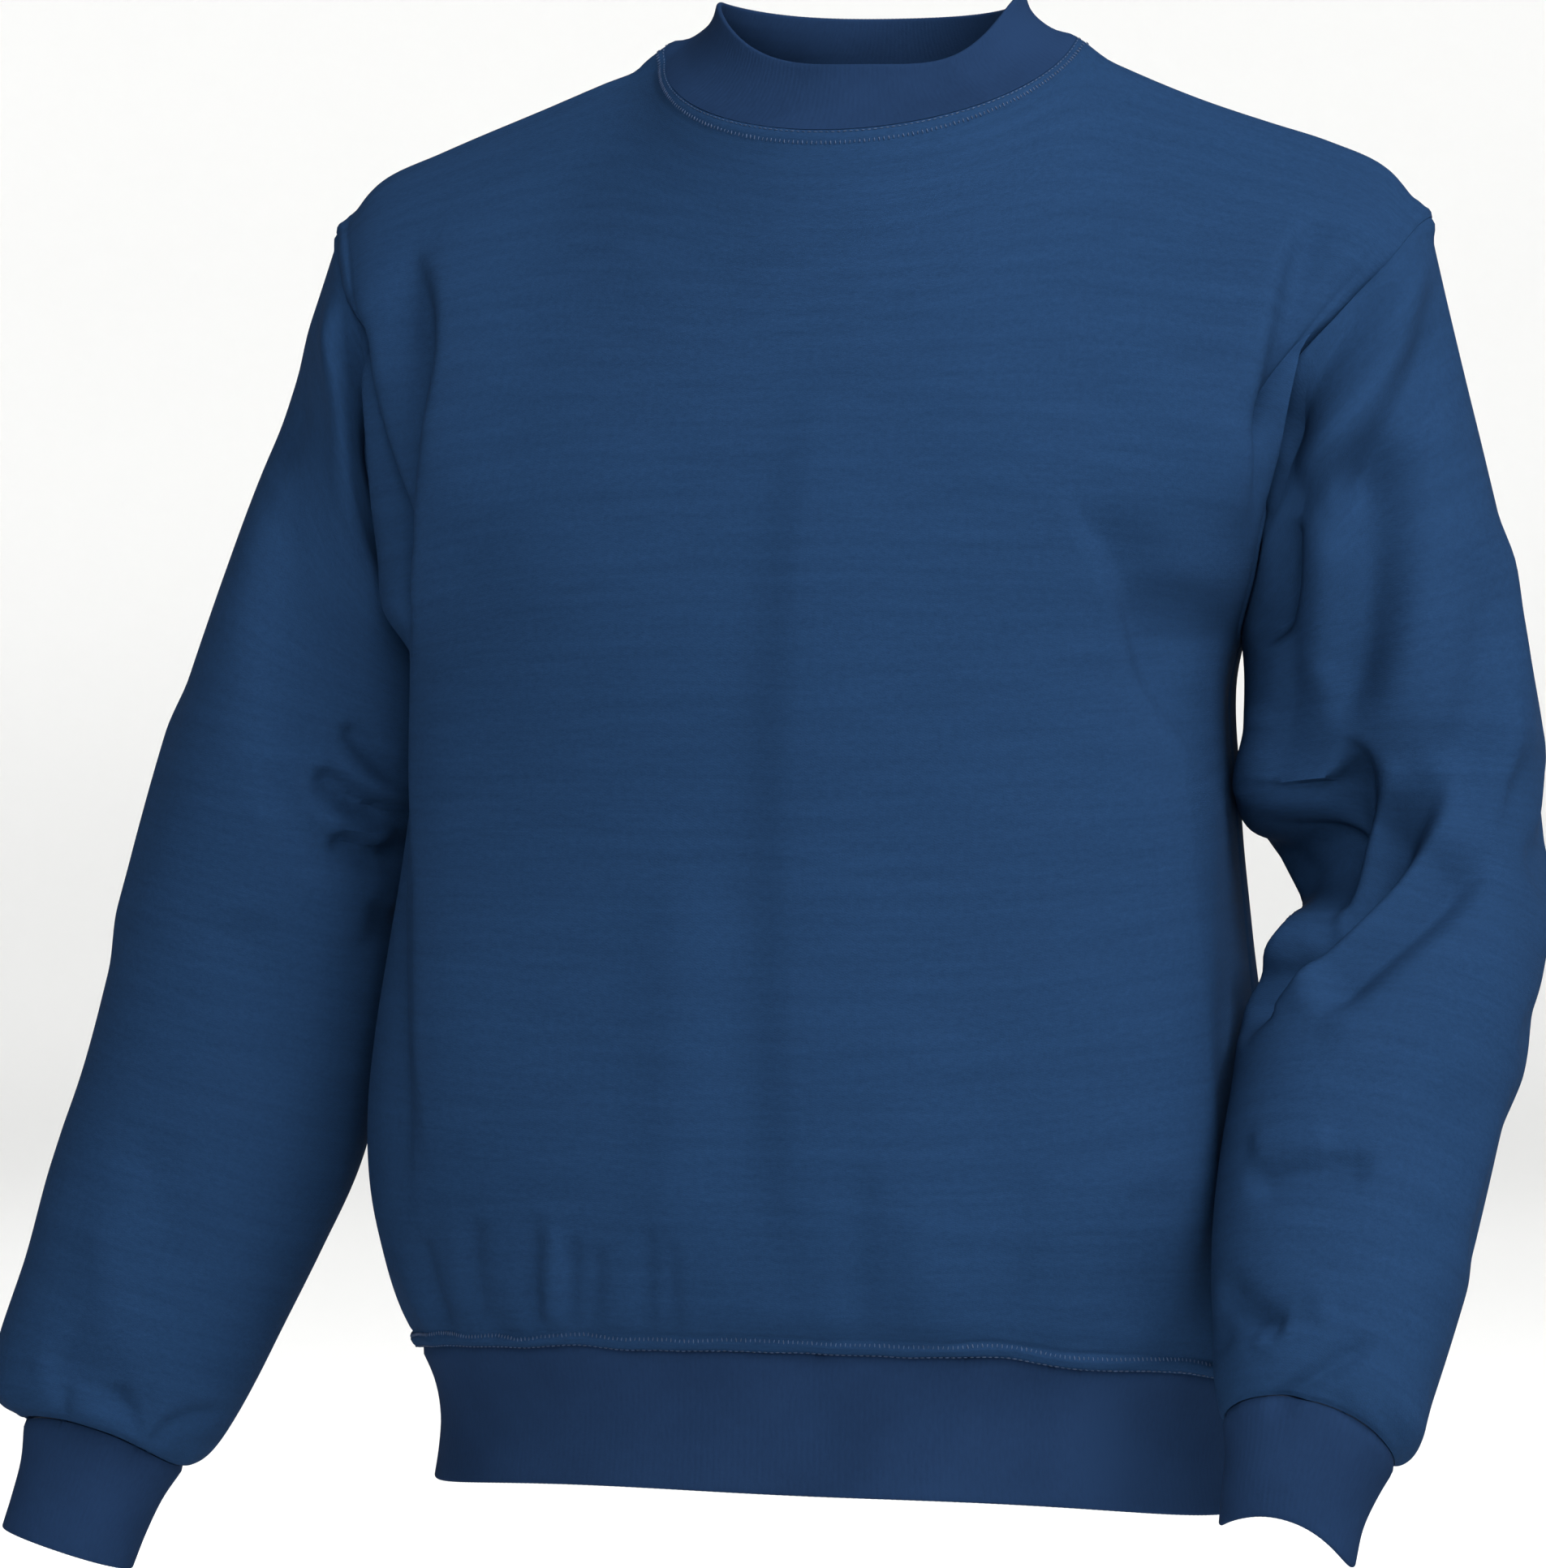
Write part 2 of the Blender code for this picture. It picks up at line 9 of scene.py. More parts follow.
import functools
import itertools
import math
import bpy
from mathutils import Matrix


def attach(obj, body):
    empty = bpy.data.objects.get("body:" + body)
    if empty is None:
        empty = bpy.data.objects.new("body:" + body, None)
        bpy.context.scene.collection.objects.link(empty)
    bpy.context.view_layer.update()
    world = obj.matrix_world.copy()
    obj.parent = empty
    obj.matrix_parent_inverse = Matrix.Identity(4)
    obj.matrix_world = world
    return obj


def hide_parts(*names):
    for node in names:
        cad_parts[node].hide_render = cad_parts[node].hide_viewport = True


bl_info = {
    "name": "Crewneck Sweatshirt",
    "version": (1, 0, 0),
    "blender": (4, 5, 0),
    "location": "3D View > Sidebar > Sweatshirt",
    "description": "Dresses a packed sweatshirt in knitted cloth with its seams and stitches",
    "category": "Object",
}

import bpy
import numpy as np
from bpy.props import FloatProperty, FloatVectorProperty, IntProperty, PointerProperty
from mathutils import Vector, kdtree

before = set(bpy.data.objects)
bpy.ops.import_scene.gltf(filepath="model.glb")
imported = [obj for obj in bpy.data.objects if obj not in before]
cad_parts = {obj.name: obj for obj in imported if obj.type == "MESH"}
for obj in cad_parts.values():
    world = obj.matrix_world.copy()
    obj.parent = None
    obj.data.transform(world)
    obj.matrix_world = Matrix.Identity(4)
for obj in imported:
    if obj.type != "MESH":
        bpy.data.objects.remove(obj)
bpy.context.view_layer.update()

MM = 0.001

# ---------------------------------------------------------------- sizes of the cut, millimetres

CLOTH_THICK = 2.0          # brushed fleece jersey
RIB_THICK = 2.6            # doubled rib of collar, cuffs and waistband
NECK_HALF = 99.0           # collar seam, half its width at the shoulders
NECK_FRONT_DEPTH = 89.0
NECK_FRONT_DROP = 47.0
NECK_BACK_DEPTH = 76.0
NECK_BACK_DROP = 4.0
RIM_HALF = 74.0            # top edge of the collar
RIM_FRONT = 72.0
RIM_BACK = 72.0
RIM_SIDE_RISE = 20.0
RIM_FRONT_RISE = -17.0
RIM_BACK_RISE = 17.0
RIM_DIP = 3.8              # how late the rim climbs from its lowest point to the shoulders
RIM_LEAN = 0.18            # how far towards the left the front edge is lowest, as a share
SHOULDER_TIP = (265.0, 0.0, -87.0)
BAND_HEIGHT = 65.0
BAND_SIDE_LIFT = 3.0

# Steps of the sections along each stretch of a seam, as in the solids
NECK_STEPS = 7
SHOULDER_STEPS = 6
SIDE_STEPS = 11
ARMHOLE_STEPS = 11
HALF_STEPS = NECK_STEPS + SHOULDER_STEPS
PANEL_STEPS = SIDE_STEPS + ARMHOLE_STEPS
FINE = 8                   # points of the cloth to one of those steps
SAMPLES = 96               # points of a curve before they are spaced evenly

# Side seam from the waistband up to the underarm: (out, y, z)
SIDE_SEAM = {
    "right": [(220, 4, -628), (230, 2, -608), (237, 2, -571), (239, 4, -500),
              (221, 10, -430), (202, 14, -355), (199, 14, -298)],
    "left": [(197, 8, -628), (200, 8, -604), (197, 8, -568), (189, 10, -500),
             (181, 12, -430), (174, 12, -350), (172, 10, -305), (178, 8, -281)],
}

# Armhole seam from the underarm up to just below the shoulder tip: (out, y, z)
ARMHOLE = {
    ("right", "front"): [(216, -28, -265), (226, -50, -220), (236, -60, -160), (249, -48, -117)],
    ("left", "front"): [(190, -32, -250), (201, -58, -212), (219, -70, -163), (247, -50, -118)],
    ("right", "back"): [(210, 52, -268), (222, 72, -220), (234, 80, -160), (250, 52, -114)],
    ("left", "back"): [(194, 48, -250), (212, 72, -208), (230, 80, -158), (250, 52, -114)],
}

# Shoulder seam between the collar and the shoulder tip: (out, y, z)
SHOULDER = {
    "right": [(108, 1, -6), (134, 1, -16), (160, 2, -26), (215, 2, -47.5), (247, 1, -62)],
    "left": [(112, 1, -8), (130, 1, -16.5), (160, 2, -29), (190, 2, -39.5), (220, 2, -49.5),
             (246, 1, -62)],
}

# Rows across the front and the back, from the waistband up:
# (step, centre x, centre y, centre z, squareness, swell at the right side, swell at the left)
FRONT_ROWS = [
    (0, -6, -136, -606, 2.4, 0, 0),
    (1, -12, -146, -588, 2.4, 0, 0),
    (2, -16, -150, -560, 2.5, 2, 0),
    (5, -20, -148, -485, 2.6, 6, 0),
    (8, -20, -143, -385, 2.8, 17, 0),
    (11, -16, -146, -285, 2.8, 19, 2),
    (13, -13, -143, -246, 2.7, 16, 1),
    (17, -4, -127, -160, 2.5, 8, 0),
]
BACK_ROWS = [
    (0, -6, 110, -606, 2.4, 0, 0),
    (1, -12, 122, -588, 2.4, 2, 2),
    (2, -16, 127, -560, 2.4, 3, 3),
    (5, -18, 121, -485, 2.4, 2, 3),
    (8, -16, 117, -385, 2.4, 0, 0),
    (11, -12, 124, -285, 2.4, 0, 0),
    (13, -9, 128, -246, 2.4, 0, 0),
    (17, -2, 130, -160, 2.4, 0, 0),
]
EDGE_RISE = 3              # how late a row climbs from its middle to its seam
EDGE_PULL = 4              # how close to a seam the cloth is drawn onto it
EASE_COLUMNS = 6           # columns, rows and rounds by which the cloth below the collar's ends
EASE_ROWS = 9              # is evened out
EASE_ROUNDS = 8
ROLL = {"front": (0.6, 0.1), "back": (0.0, 0.1)}   # climb over the shoulder: at neck, at tip
ROLL_COLUMNS = 5           # columns over which that roll sets in beside the neck

# Rings down each sleeve below the armhole:
# (steps to the next ring, out, y, z, lean outwards and pitch forwards in degrees,
#  half width, half depth, saddle)
SLEEVE_RINGS = {
    "right": [
        (3, 279, 2, -330, 14, 0, 66, 76, 0),
        (3, 303, 0, -418, 14, 1, 69, 68, 0),
        (3, 326, -2, -512, 15, 3, 73, 60, 0),
        (2, 347, -6, -568, 17, 5, 71, 56, 0),
        (2, 363, -10, -611, 17, 7, 66, 53, 0),
        (2, 380, -15, -653, 13, 9, 62, 51, 1),
        (1, 386.5, -18, -676, 13, 10, 51.5, 46, 3),
        (0, 384.5, -19, -681, 14, 11, 41.5, 37, 4),
    ],
    "left": [
        (3, 248, 15, -318, 6, 4, 69, 76, 0),
        (2, 250, 10, -366, 3, 12, 71, 70, 0),
        (2, 265, -8, -407, 0, 22, 58, 64, 0),
        (3, 257, -34, -442, -2, 30, 66, 61, 0),
        (3, 248, -68, -502, -4, 32, 63, 57, 0),
        (2, 241, -102, -562, -6, 32, 58, 53, 0),
        (2, 237.5, -126, -604, -9, 31, 51, 48, 2),
        (1, 236.5, -138, -626, -11, 29, 45.5, 42, 3.5),
        (0, 234, -142, -632, -12, 27, 40, 36, 4),
    ],
}
ARMHOLE_TO_FIRST_RING = 5
SLEEVE_SQUARE = 2.2

# Rings down each cuff below its seam, with the columns of the sleeve's rings
CUFF_RINGS = {
    "right": [
        (1, 391, -22, -701, 14, 11, 36.5, 34, 1),
        (1, 397, -25, -719, 15, 11, 34.5, 33, 0),
        (0, 402, -28, -735, 16, 11, 34, 31, 0),
    ],
    "left": [
        (1, 231, -146, -647, -13, 20, 35, 33, 4),
        (1, 228, -150, -660, -14, 14, 32.5, 31, 5),
        (0, 226.5, -152, -674, -15, 8, 31.5, 29, 6.5),
    ],
}
CUFF_SQUARE = 2.1

# Rings down the waistband: (share of its height, wider at front and back, wider at the sides)
BAND_RINGS = [(0.25, 0.0, -7.0), (0.5, 0.0, -10.0), (0.8, 1.0, -9.0), (1.0, 2.0, -7.0)]

# Rings up the collar: (share of its height, share of the seam's spread that is left)
COLLAR_RINGS = [(0.2, 0.62), (0.5, 0.26), (0.78, 0.07), (1.0, 0.0)]

# ---------------------------------------------------------------- folds, millimetres

# How each face is looked at: the two axes it is drawn on, and the way that it faces
FACES = {
    "front": ((0, 2), (0, -1, 0)),
    "back": ((0, 2), (0, 1, 0)),
    "left": ((1, 2), (1, 0, 0)),
    "right": ((1, 2), (-1, 0, 0)),
}
FOLD_FADE = 0.22           # share of its length over which a fold fades in at each end
FOLD_SLIM = 0.55           # width of a fold at its ends, as a share of its full width
SEAM_HOLD = 16.0           # a fold dies out over this distance from a seam that it doesn't cross
FOLD_FACING = 2.0          # how soon a fold is whole where the cloth turns towards its face
FOLD_POINTS = 6            # fine points to each given point of a fold's line

# Folds, listed by the piece that they are on, or two joined by + where a fold runs on
# over their seam, and by the face that they are drawn on: (height over the cloth, half width on
# the right hand and on the left hand of somebody who walks along it, points of its line)
FOLDS = {
    ("front_panel", "front"): [
        # the pressed crease down the middle, and the drape from the left armhole
        (5.0, 17, 44, [(6, -150), (4, -200), (2, -260), (-2, -330), (-3, -396), (0, -469),
         (3, -542), (3, -596)]),
        (-9.0, 6, 22, [(114, -210), (126, -224), (138, -240), (146, -260), (150, -280),
         (154, -300), (161, -318), (169, -336), (178, -354), (187, -376), (194, -400),
         (199, -426)]),
        (4.0, 26, 6, [(216, -84), (208, -112), (205, -140), (202, -165), (198, -190), (193, -215),
         (187, -242)]),
        (12.0, 26, 12, [(168, -262), (167, -300), (167, -340), (167, -380), (166, -420),
         (165, -470), (166, -530), (168, -600)]),
        # long soft folds down the belly
        (3.0, 18, 26, [(-56, -370), (-55, -440), (-55, -520), (-57, -602)]),
        (5.0, 36, 30, [(124, -310), (130, -373), (134, -432), (136, -520), (137, -604)]),
        (2.6, 26, 26, [(42, -430), (48, -480), (53, -523), (54, -602)]),
        # where the chest turns to the right side
        (2.4, 10, 34, [(-200, -78), (-192, -100), (-186, -125), (-183, -150), (-184, -180),
         (-186, -211), (-190, -245)]),
        (7.0, 9, 40, [(-190, -225), (-194, -262), (-196, -305), (-195, -350), (-190, -400),
         (-187, -450), (-184, -500), (-182, -545)]),
        (-3.4, 14, 6, [(-214, -300), (-215, -350), (-213, -400), (-207, -450), (-202, -510),
         (-200, -560)]),
        # slack above the waistband
        (-2.6, 5, 6, [(-131, -606), (-129, -575), (-126, -545)]),
        (1.8, 5, 5, [(-122, -604), (-120, -572), (-117, -548)]),
        (-2.4, 5, 4, [(-113, -604), (-110, -578), (-108, -552)]),
        (-2.0, 4, 5, [(-101, -606), (-97, -575), (-95, -556)]),
        (-2.0, 5, 6, [(-76, -606), (-71, -570), (-69, -545)]),
        (-1.6, 4, 5, [(-60, -606), (-59, -568), (-59, -550)]),
        (-2.0, 9, 12, [(28, -606), (29, -560), (29, -510)]),
        (1.6, 12, 10, [(58, -604), (56, -560), (58, -530)]),
        (-2.2, 10, 12, [(93, -604), (98, -559), (102, -512)]),
        (-3.0, 9, 12, [(150, -604), (154, -560), (152, -520)]),
        (-2.8, 6, 8, [(-160, -606), (-162, -572), (-158, -545)]),
        (-3.0, 6, 8, [(-182, -612), (-190, -585), (-192, -560)]),
    ],
    ("front_panel+sleeve_left", "front"): [
        # the edge of the drape at the left armhole, and its end at the underarm
        (-9.0, 4.5, 18, [(222, -78), (215, -98), (211, -123), (208, -149), (206, -168),
         (204, -190), (200, -212), (195, -241)]),
        (-10.0, 18, 7, [(256, -104), (245, -125), (233, -148), (221, -170), (210, -188),
         (201, -206)]),
    ],
    ("front_panel+sleeve_right", "front"): [
        # where the chest turns to the right side, and the fold beside the armhole
        (-12.0, 34, 4.5, [(-214, -92), (-207, -107), (-201, -121), (-197, -135), (-195, -150),
         (-196, -166), (-198, -183), (-199, -202), (-201, -225), (-202, -249), (-204, -276)]),
        (-12.0, 7, 6, [(-248, -112), (-243, -136), (-239, -160), (-232, -184), (-222, -211),
         (-211, -236), (-203, -262), (-198, -292)]),
    ],
    ("back_panel", "back"): [
        # slack across the shoulder blades, long drapes and the gathers above the waistband
        (-5.0, 26, 14, [(-168, -150), (-120, -205), (-60, -238), (-15, -246)]),
        (-4.2, 14, 24, [(170, -158), (128, -200), (84, -232), (40, -240)]),
        (-6.0, 12, 26, [(60, -260), (34, -330), (20, -400), (26, -480), (30, -560)]),
        (4.2, 24, 12, [(-60, -300), (-72, -380), (-66, -450), (-50, -530)]),
        (3.6, 12, 28, [(130, -280), (138, -360), (126, -440)]),
        (-4.6, 8, 20, [(-160, -250), (-150, -330), (-158, -410), (-165, -470)]),
        (-3.0, 9, 12, [(-120, -606), (-124, -560), (-118, -515)]),
        (-2.4, 6, 7, [(-84, -606), (-80, -575), (-82, -545)]),
        (-2.8, 8, 10, [(-40, -606), (-44, -565), (-42, -530)]),
        (-2.2, 6, 8, [(4, -606), (0, -572), (2, -550)]),
        (-3.0, 8, 11, [(72, -606), (78, -560), (76, -520)]),
        (-2.6, 6, 8, [(112, -606), (108, -575), (110, -548)]),
        (-3.2, 8, 9, [(150, -606), (156, -570), (152, -540)]),
    ],
    # where the shoulder blades turn into the armholes
    ("back_panel+sleeve_right", "back"): [
        (-6.0, 6, 15, [(-226, -88), (-214, -125), (-208, -165), (-204, -210), (-200, -250)]),
    ],
    ("back_panel+sleeve_left", "back"): [
        (-6.0, 14, 6, [(226, -86), (213, -120), (205, -160), (200, -200), (194, -240)]),
    ],
    ("sleeve_right", "front"): [
        # the fold beside the armhole and the creases inside the elbow
        (6.0, 10, 6, [(-255, -104), (-252, -137), (-249, -164), (-243, -203), (-236, -234),
         (-229, -261), (-221, -292)]),
        (-11.0, 18, 40, [(-290, -130), (-285, -165), (-279, -198), (-273, -234), (-267, -273),
         (-263, -310), (-260, -350), (-256, -384)]),
        (-5.5, 5, 5, [(-242, -322), (-234, -335), (-227, -346), (-218, -358)]),
        (2.6, 5, 5, [(-246, -338), (-237, -349), (-228, -358), (-216, -366)]),
        (-10.0, 7, 6, [(-260, -346), (-248, -355), (-237, -364), (-226, -370), (-212, -374)]),
        (3.2, 5, 5, [(-262, -364), (-250, -372), (-238, -378), (-222, -383)]),
        (-8.5, 7, 6, [(-254, -377), (-240, -385), (-228, -390), (-212, -395)]),
        (-3.4, 8, 9, [(-282, -340), (-272, -362), (-258, -384), (-246, -402)]),
        (3.0, 12, 16, [(-264, -392), (-250, -410), (-240, -432)]),
        (-4.0, 18, 22, [(-300, -410), (-282, -455), (-276, -505)]),
        (-3.4, 14, 20, [(-352, -520), (-338, -560), (-330, -600)]),
        (3.0, 14, 14, [(-372, -560), (-364, -600), (-366, -640)]),
        (-3.6, 5, 7, [(-352, -676), (-358, -660), (-366, -646)]),
        (-2.4, 4, 5, [(-389, -672), (-390, -658), (-387, -646)]),
        (-4.0, 8, 16, [(-404, -634), (-390, -640), (-374, -647), (-358, -656), (-344, -668)]),
        (-3.6, 4.5, 5, [(-352, -688), (-345, -677), (-338, -669), (-328, -665), (-316, -664)]),
    ],
    # the other sides of the right sleeve
    ("sleeve_right", "right"): [
        (-4.6, 12, 20, [(30, -250), (10, -330), (-6, -410)]),
        (3.6, 14, 18, [(-20, -300), (-26, -380), (-22, -450)]),
        (-4.0, 10, 16, [(26, -470), (4, -520), (-18, -560)]),
        (-3.4, 6, 9, [(20, -640), (8, -610), (2, -580)]),
    ],
    ("sleeve_right", "back"): [
        (-6.0, 7, 16, [(-236, -300), (-262, -350), (-300, -390)]),
        (4.2, 8, 16, [(-246, -345), (-276, -390), (-318, -420)]),
        (-5.6, 7, 14, [(-256, -396), (-290, -436), (-330, -462)]),
        (-3.8, 12, 18, [(-330, -500), (-344, -550), (-362, -600)]),
    ],
    ("sleeve_right", "left"): [
        (-5.0, 7, 12, [(40, -350), (12, -372), (-20, -384), (-44, -380)]),
        (-4.6, 7, 12, [(44, -392), (14, -412), (-18, -420), (-46, -408)]),
    ],
    ("sleeve_left", "front"): [
        # the drape out of the underarm and the planes down the upper arm
        (9.0, 9, 12, [(268, -96), (263, -120), (257, -141), (247, -164), (231, -186), (213, -204),
         (196, -220)]),
        (-8.0, 12, 10, [(274, -100), (271, -130), (267, -160), (259, -187), (248, -210),
         (234, -232)]),
        (-14.0, 8, 9, [(190, -288), (195, -268), (199, -252), (199, -236), (195, -222)]),
        (-12.0, 18, 14, [(250, -176), (254, -206), (253, -240), (249, -272), (240, -300),
         (226, -324)]),
        (7.0, 18, 26, [(276, -150), (272, -180), (271, -212), (270, -241), (268, -267),
         (263, -293), (254, -318), (242, -338)]),
        (5.0, 14, 14, [(226, -225), (224, -250), (222, -280), (224, -315)]),
        (-4.0, 9, 13, [(298, -250), (297, -286), (291, -318), (278, -346)]),
        (6.0, 9, 5, [(286, -184), (294, -221), (299, -245), (304, -271), (306, -297), (306, -327),
         (303, -349), (302, -380)]),
        # the folds round the inside of the bent elbow
        (-28.0, 5, 26, [(176, -424), (190, -412), (204, -400), (217, -389), (229, -375),
         (239, -360), (244, -347), (242, -336), (232, -326)]),
        (3.0, 10, 5, [(212, -406), (224, -391), (235, -380), (243, -370), (251, -357), (255, -346),
         (256, -330)]),
        (-11.0, 12, 12, [(170, -444), (182, -432), (196, -419), (210, -407), (224, -396)]),
        (-9.0, 14, 40, [(202, -180), (206, -225), (208, -262), (208, -298), (205, -332),
         (200, -366)]),
        (-16.0, 5, 24, [(150, -482), (168, -466), (184, -452), (197, -441), (210, -430),
         (226, -415)]),
        (-26.0, 5, 30, [(160, -474), (175, -460), (189, -448), (201, -438), (216, -424),
         (230, -411), (244, -397), (259, -381), (272, -362), (283, -340)]),
        (6.0, 22, 6, [(206, -447), (223, -427), (237, -414), (251, -402), (261, -392), (271, -378),
         (280, -365), (289, -350)]),
        (-13.0, 8, 24, [(226, -450), (238, -440), (253, -426), (269, -412), (285, -397),
         (304, -376)]),
        (2.4, 16, 14, [(232, -466), (260, -440), (290, -416)]),
        (-8.0, 6, 6, [(184, -464), (195, -452), (206, -441)]),
        # the forearm and the slack over the cuff
        (-5.5, 9, 5, [(199, -523), (218, -518), (238, -514), (264, -511)]),
        (3.2, 9, 6, [(200, -508), (220, -504), (244, -500)]),
        (-5.5, 8, 7, [(190, -566), (203, -573), (216, -580), (228, -585)]),
        (3.2, 7, 6, [(208, -592), (220, -584), (233, -577), (250, -571)]),
        (-4.0, 5, 10, [(186, -604), (190, -594), (200, -585), (214, -579), (230, -577),
         (246, -580)]),
        (-3.0, 16, 18, [(296, -470), (290, -520), (282, -560)]),
    ],
    ("sleeve_left+cuff_left", "front"): [
        (-4.0, 4.5, 6, [(218, -622), (227, -612), (236, -605), (246, -598), (256, -592),
         (268, -588)]),
    ],
    # the other sides of the left sleeve
    ("sleeve_left", "left"): [
        (-4.6, 10, 18, [(46, -200), (40, -270), (24, -330)]),
        (4.2, 12, 16, [(0, -220), (-10, -290), (-30, -350)]),
        (-3.4, 9, 16, [(40, -340), (4, -372), (-40, -388)]),
        (2.4, 12, 14, [(38, -382), (0, -408), (-46, -420)]),
        (-2.6, 10, 14, [(24, -430), (-20, -452), (-70, -462)]),
        (-3.6, 14, 16, [(-40, -480), (-76, -530), (-104, -570)]),
    ],
    ("sleeve_left", "back"): [
        (-5.2, 10, 18, [(214, -290), (236, -330), (262, -356)]),
        (4.2, 12, 16, [(280, -230), (286, -290), (282, -350)]),
        (-4.6, 9, 16, [(220, -440), (244, -470), (262, -520)]),
    ],
    ("sleeve_left", "right"): [
        (-5.0, 8, 12, [(40, -372), (10, -386), (-24, -388), (-50, -376)]),
        (-4.4, 9, 12, [(10, -430), (-24, -440), (-58, -430)]),
        (3.2, 14, 14, [(-32, -308), (-27, -335), (-20, -366)]),
    ],
}

# Slack drawn up by a tight seam: (piece, seam, height, width of one pucker, reach from the seam)
GATHERS = [
    ("front_panel", "waist", 2.0, 17.0, 46.0),
    ("back_panel", "waist", 2.3, 17.0, 50.0),
    ("sleeve_right", "cuff_right", 2.2, 13.0, 26.0),
    ("sleeve_left", "cuff_left", 2.2, 13.0, 24.0),
]
PUCKER_LENGTH = 7.0        # a pucker is this many times as long as it is wide
PUCKER_RISE = 9.0          # a pucker climbs over this distance from the seam,
PUCKER_START = 0.25        # and is this far up the climb on the seam itself

# Unevenness of slack cloth: (height, width of one lump)
SLACK = [(0.9, 88.0), (0.3, 34.0)]
SLACK_HOLD = 30.0          # it dies out over this distance from a seam

# Draws of the unevenness: table of random values, factors that scatter its use, seeds
NOISE_VALUES = 4096
NOISE_FACTORS = (73856093, 19349663, 83492791)
GATHER_SEED = 11
SLACK_SEED = 21
WAVE_SEED = 31
BAND_SEED = 41

# ---------------------------------------------------------------- seams, millimetres

SEAM_PLAY = 0.1            # each sewn edge is drawn back by this much
SEAM_SPACING = 0.6         # of the points by which the distance from a seam is measured
SPOTS_A_MM = 50.0          # edge points that round to the same fiftieth of one are the same
LEAST_FACING = 0.5         # keeps a wall from thickening too much where pieces meet at an angle
GROOVE_DEPTH = 1.1         # how far the cloth dips into a seam
GROOVE_WIDTH = 1.7
# Raised band of turned-up cloth beside a seam: (seam, height, width)
BANDS = [("neck", 0.5, 7.0), ("waist", 2.3, 7.4), ("armhole_right", 0.8, 6.5),
         ("armhole_left", 0.7, 6.5)]
BAND_UNEVEN = 0.45         # share by which a band swells and sinks along its length
BAND_LUMP = 16.0
BAND_EDGE = (1.2, 2.2)     # its edge on the seam: how far beyond the seam it starts, its width
BAND_FALL = (0.72, 0.38)   # its far edge: where it starts and its width, as shares of the band
BAND_DENT = (0.35, 1.12, 1.3)   # dent beside it: depth, place as a share of the band, reach
# Knots of turned-up cloth where three seams meet: (x, y, z, height, reach)
KNOTS = [(-103, 0, -4, 2.8, 12.0), (101, 0, -3, 1.3, 11.0), (-264, 0, -86, 2.8, 10.0),
         (264, 0, -86, 2.8, 10.0)]
KNOT_FLATNESS = 4          # how flat the top of a knot is, and how steep its sides
BODY = ("front_panel", "back_panel")   # the bands and the stitches are on these
SLEEVES = ("sleeve_right", "sleeve_left")
FLEECE = BODY + SLEEVES
SEAM_WAVE = (1.6, 42.0, 26.0)   # waist seam: rise, width of one wave, reach over the cloth
RIB_TUCK_REACH = 4.0       # a rib comes out from under the cloth over this distance

# Ribs of each ribbed piece: (ribs round it, rows on its outer side, rows on its inner side,
# how deep it starts under the cloth it is sewn to)
RIBBING = {
    "neck_rib": (216, 16, 12, 0.5),
    "waistband_rib": (420, 18, 5, 1.6),
    "cuff_right": (92, 18, 10, 1.6),
    "cuff_left": (86, 18, 10, 1.6),
}
COLUMNS_A_RIB = 4
HEM_ROUND = 5              # rows round a folded edge
INSIDE_RELIEF = 0.6        # depth of the ribs on that edge and inside, as a share of the outside
INSIDE_TUCK = 0.5          # how much of that start under the cloth the inner side shares
SHARP_ANGLE = 65.0         # degrees

# Each piece of cloth that shows: name, then its flat cut in metres and square metres
# (width, length, area, how it is held)
CLOTHS = {
    "front_panel": ("front_cloth", 0.62, 0.66, 0.355, "hung"),
    "back_panel": ("back_cloth", 0.62, 0.68, 0.365, "hung"),
    "sleeve_right": ("right_sleeve_cloth", 0.45, 0.56, 0.200, "hung"),
    "sleeve_left": ("left_sleeve_cloth", 0.45, 0.56, 0.200, "hung"),
    "cuff_right": ("right_cuff_cloth", 0.23, 0.062, None, "stretched"),
    "cuff_left": ("left_cuff_cloth", 0.22, 0.052, None, "stretched"),
    "neck_rib": ("collar_cloth", 0.52, 0.045, None, "stretched"),
    "waistband_rib": ("waistband_cloth", 1.02, 0.065, None, "stretched"),
}

STITCH_LIFT = 0.25         # height of a stitch's middle over the cloth
STITCH_SWAY = 0.22         # how far a stitch may lie askew, radians
STITCH_SIZES = (0.8, 1.1)  # smallest and largest stitch, as shares of the full size
OVERLOCK_RADIUS = 1.3      # overlocked edge inside each cuff seam
OVERLOCK_DEPTH = 5.0
OVERLOCK_SIDES = 8
# Rows of stitches on both the front and the back:
# (seam, distance from the seam, share of the pitch, stitches lie across the row)
STITCHES = [
    ("waist", 7.9, 0.8, True),
    ("waist", 1.6, 1.0, False),
    ("neck", 6.9, 0.8, True),
    ("neck", 1.6, 1.0, False),
]

# ---------------------------------------------------------------- camera, metres and degrees

CAMERA_AIM = (-0.0453, -0.0119, -0.353)
CAMERA_AZIMUTH = 14.0
CAMERA_ELEVATION = 2.9
CAMERA_DISTANCE = 2.5
CAMERA_LENS = 119.8        # millimetres
CAMERA_SENSOR = 36.0       # millimetres, along the longer side of the frame


def linear(hex_colour):
    """An sRGB hex colour in linear light."""
    values = [int(hex_colour[k:k + 2], 16) / 255.0 for k in (1, 3, 5)]
    return tuple(v / 12.92 if v <= 0.04045 else ((v + 0.055) / 1.055) ** 2.4 for v in values)


# ---------------------------------------------------------------- settings


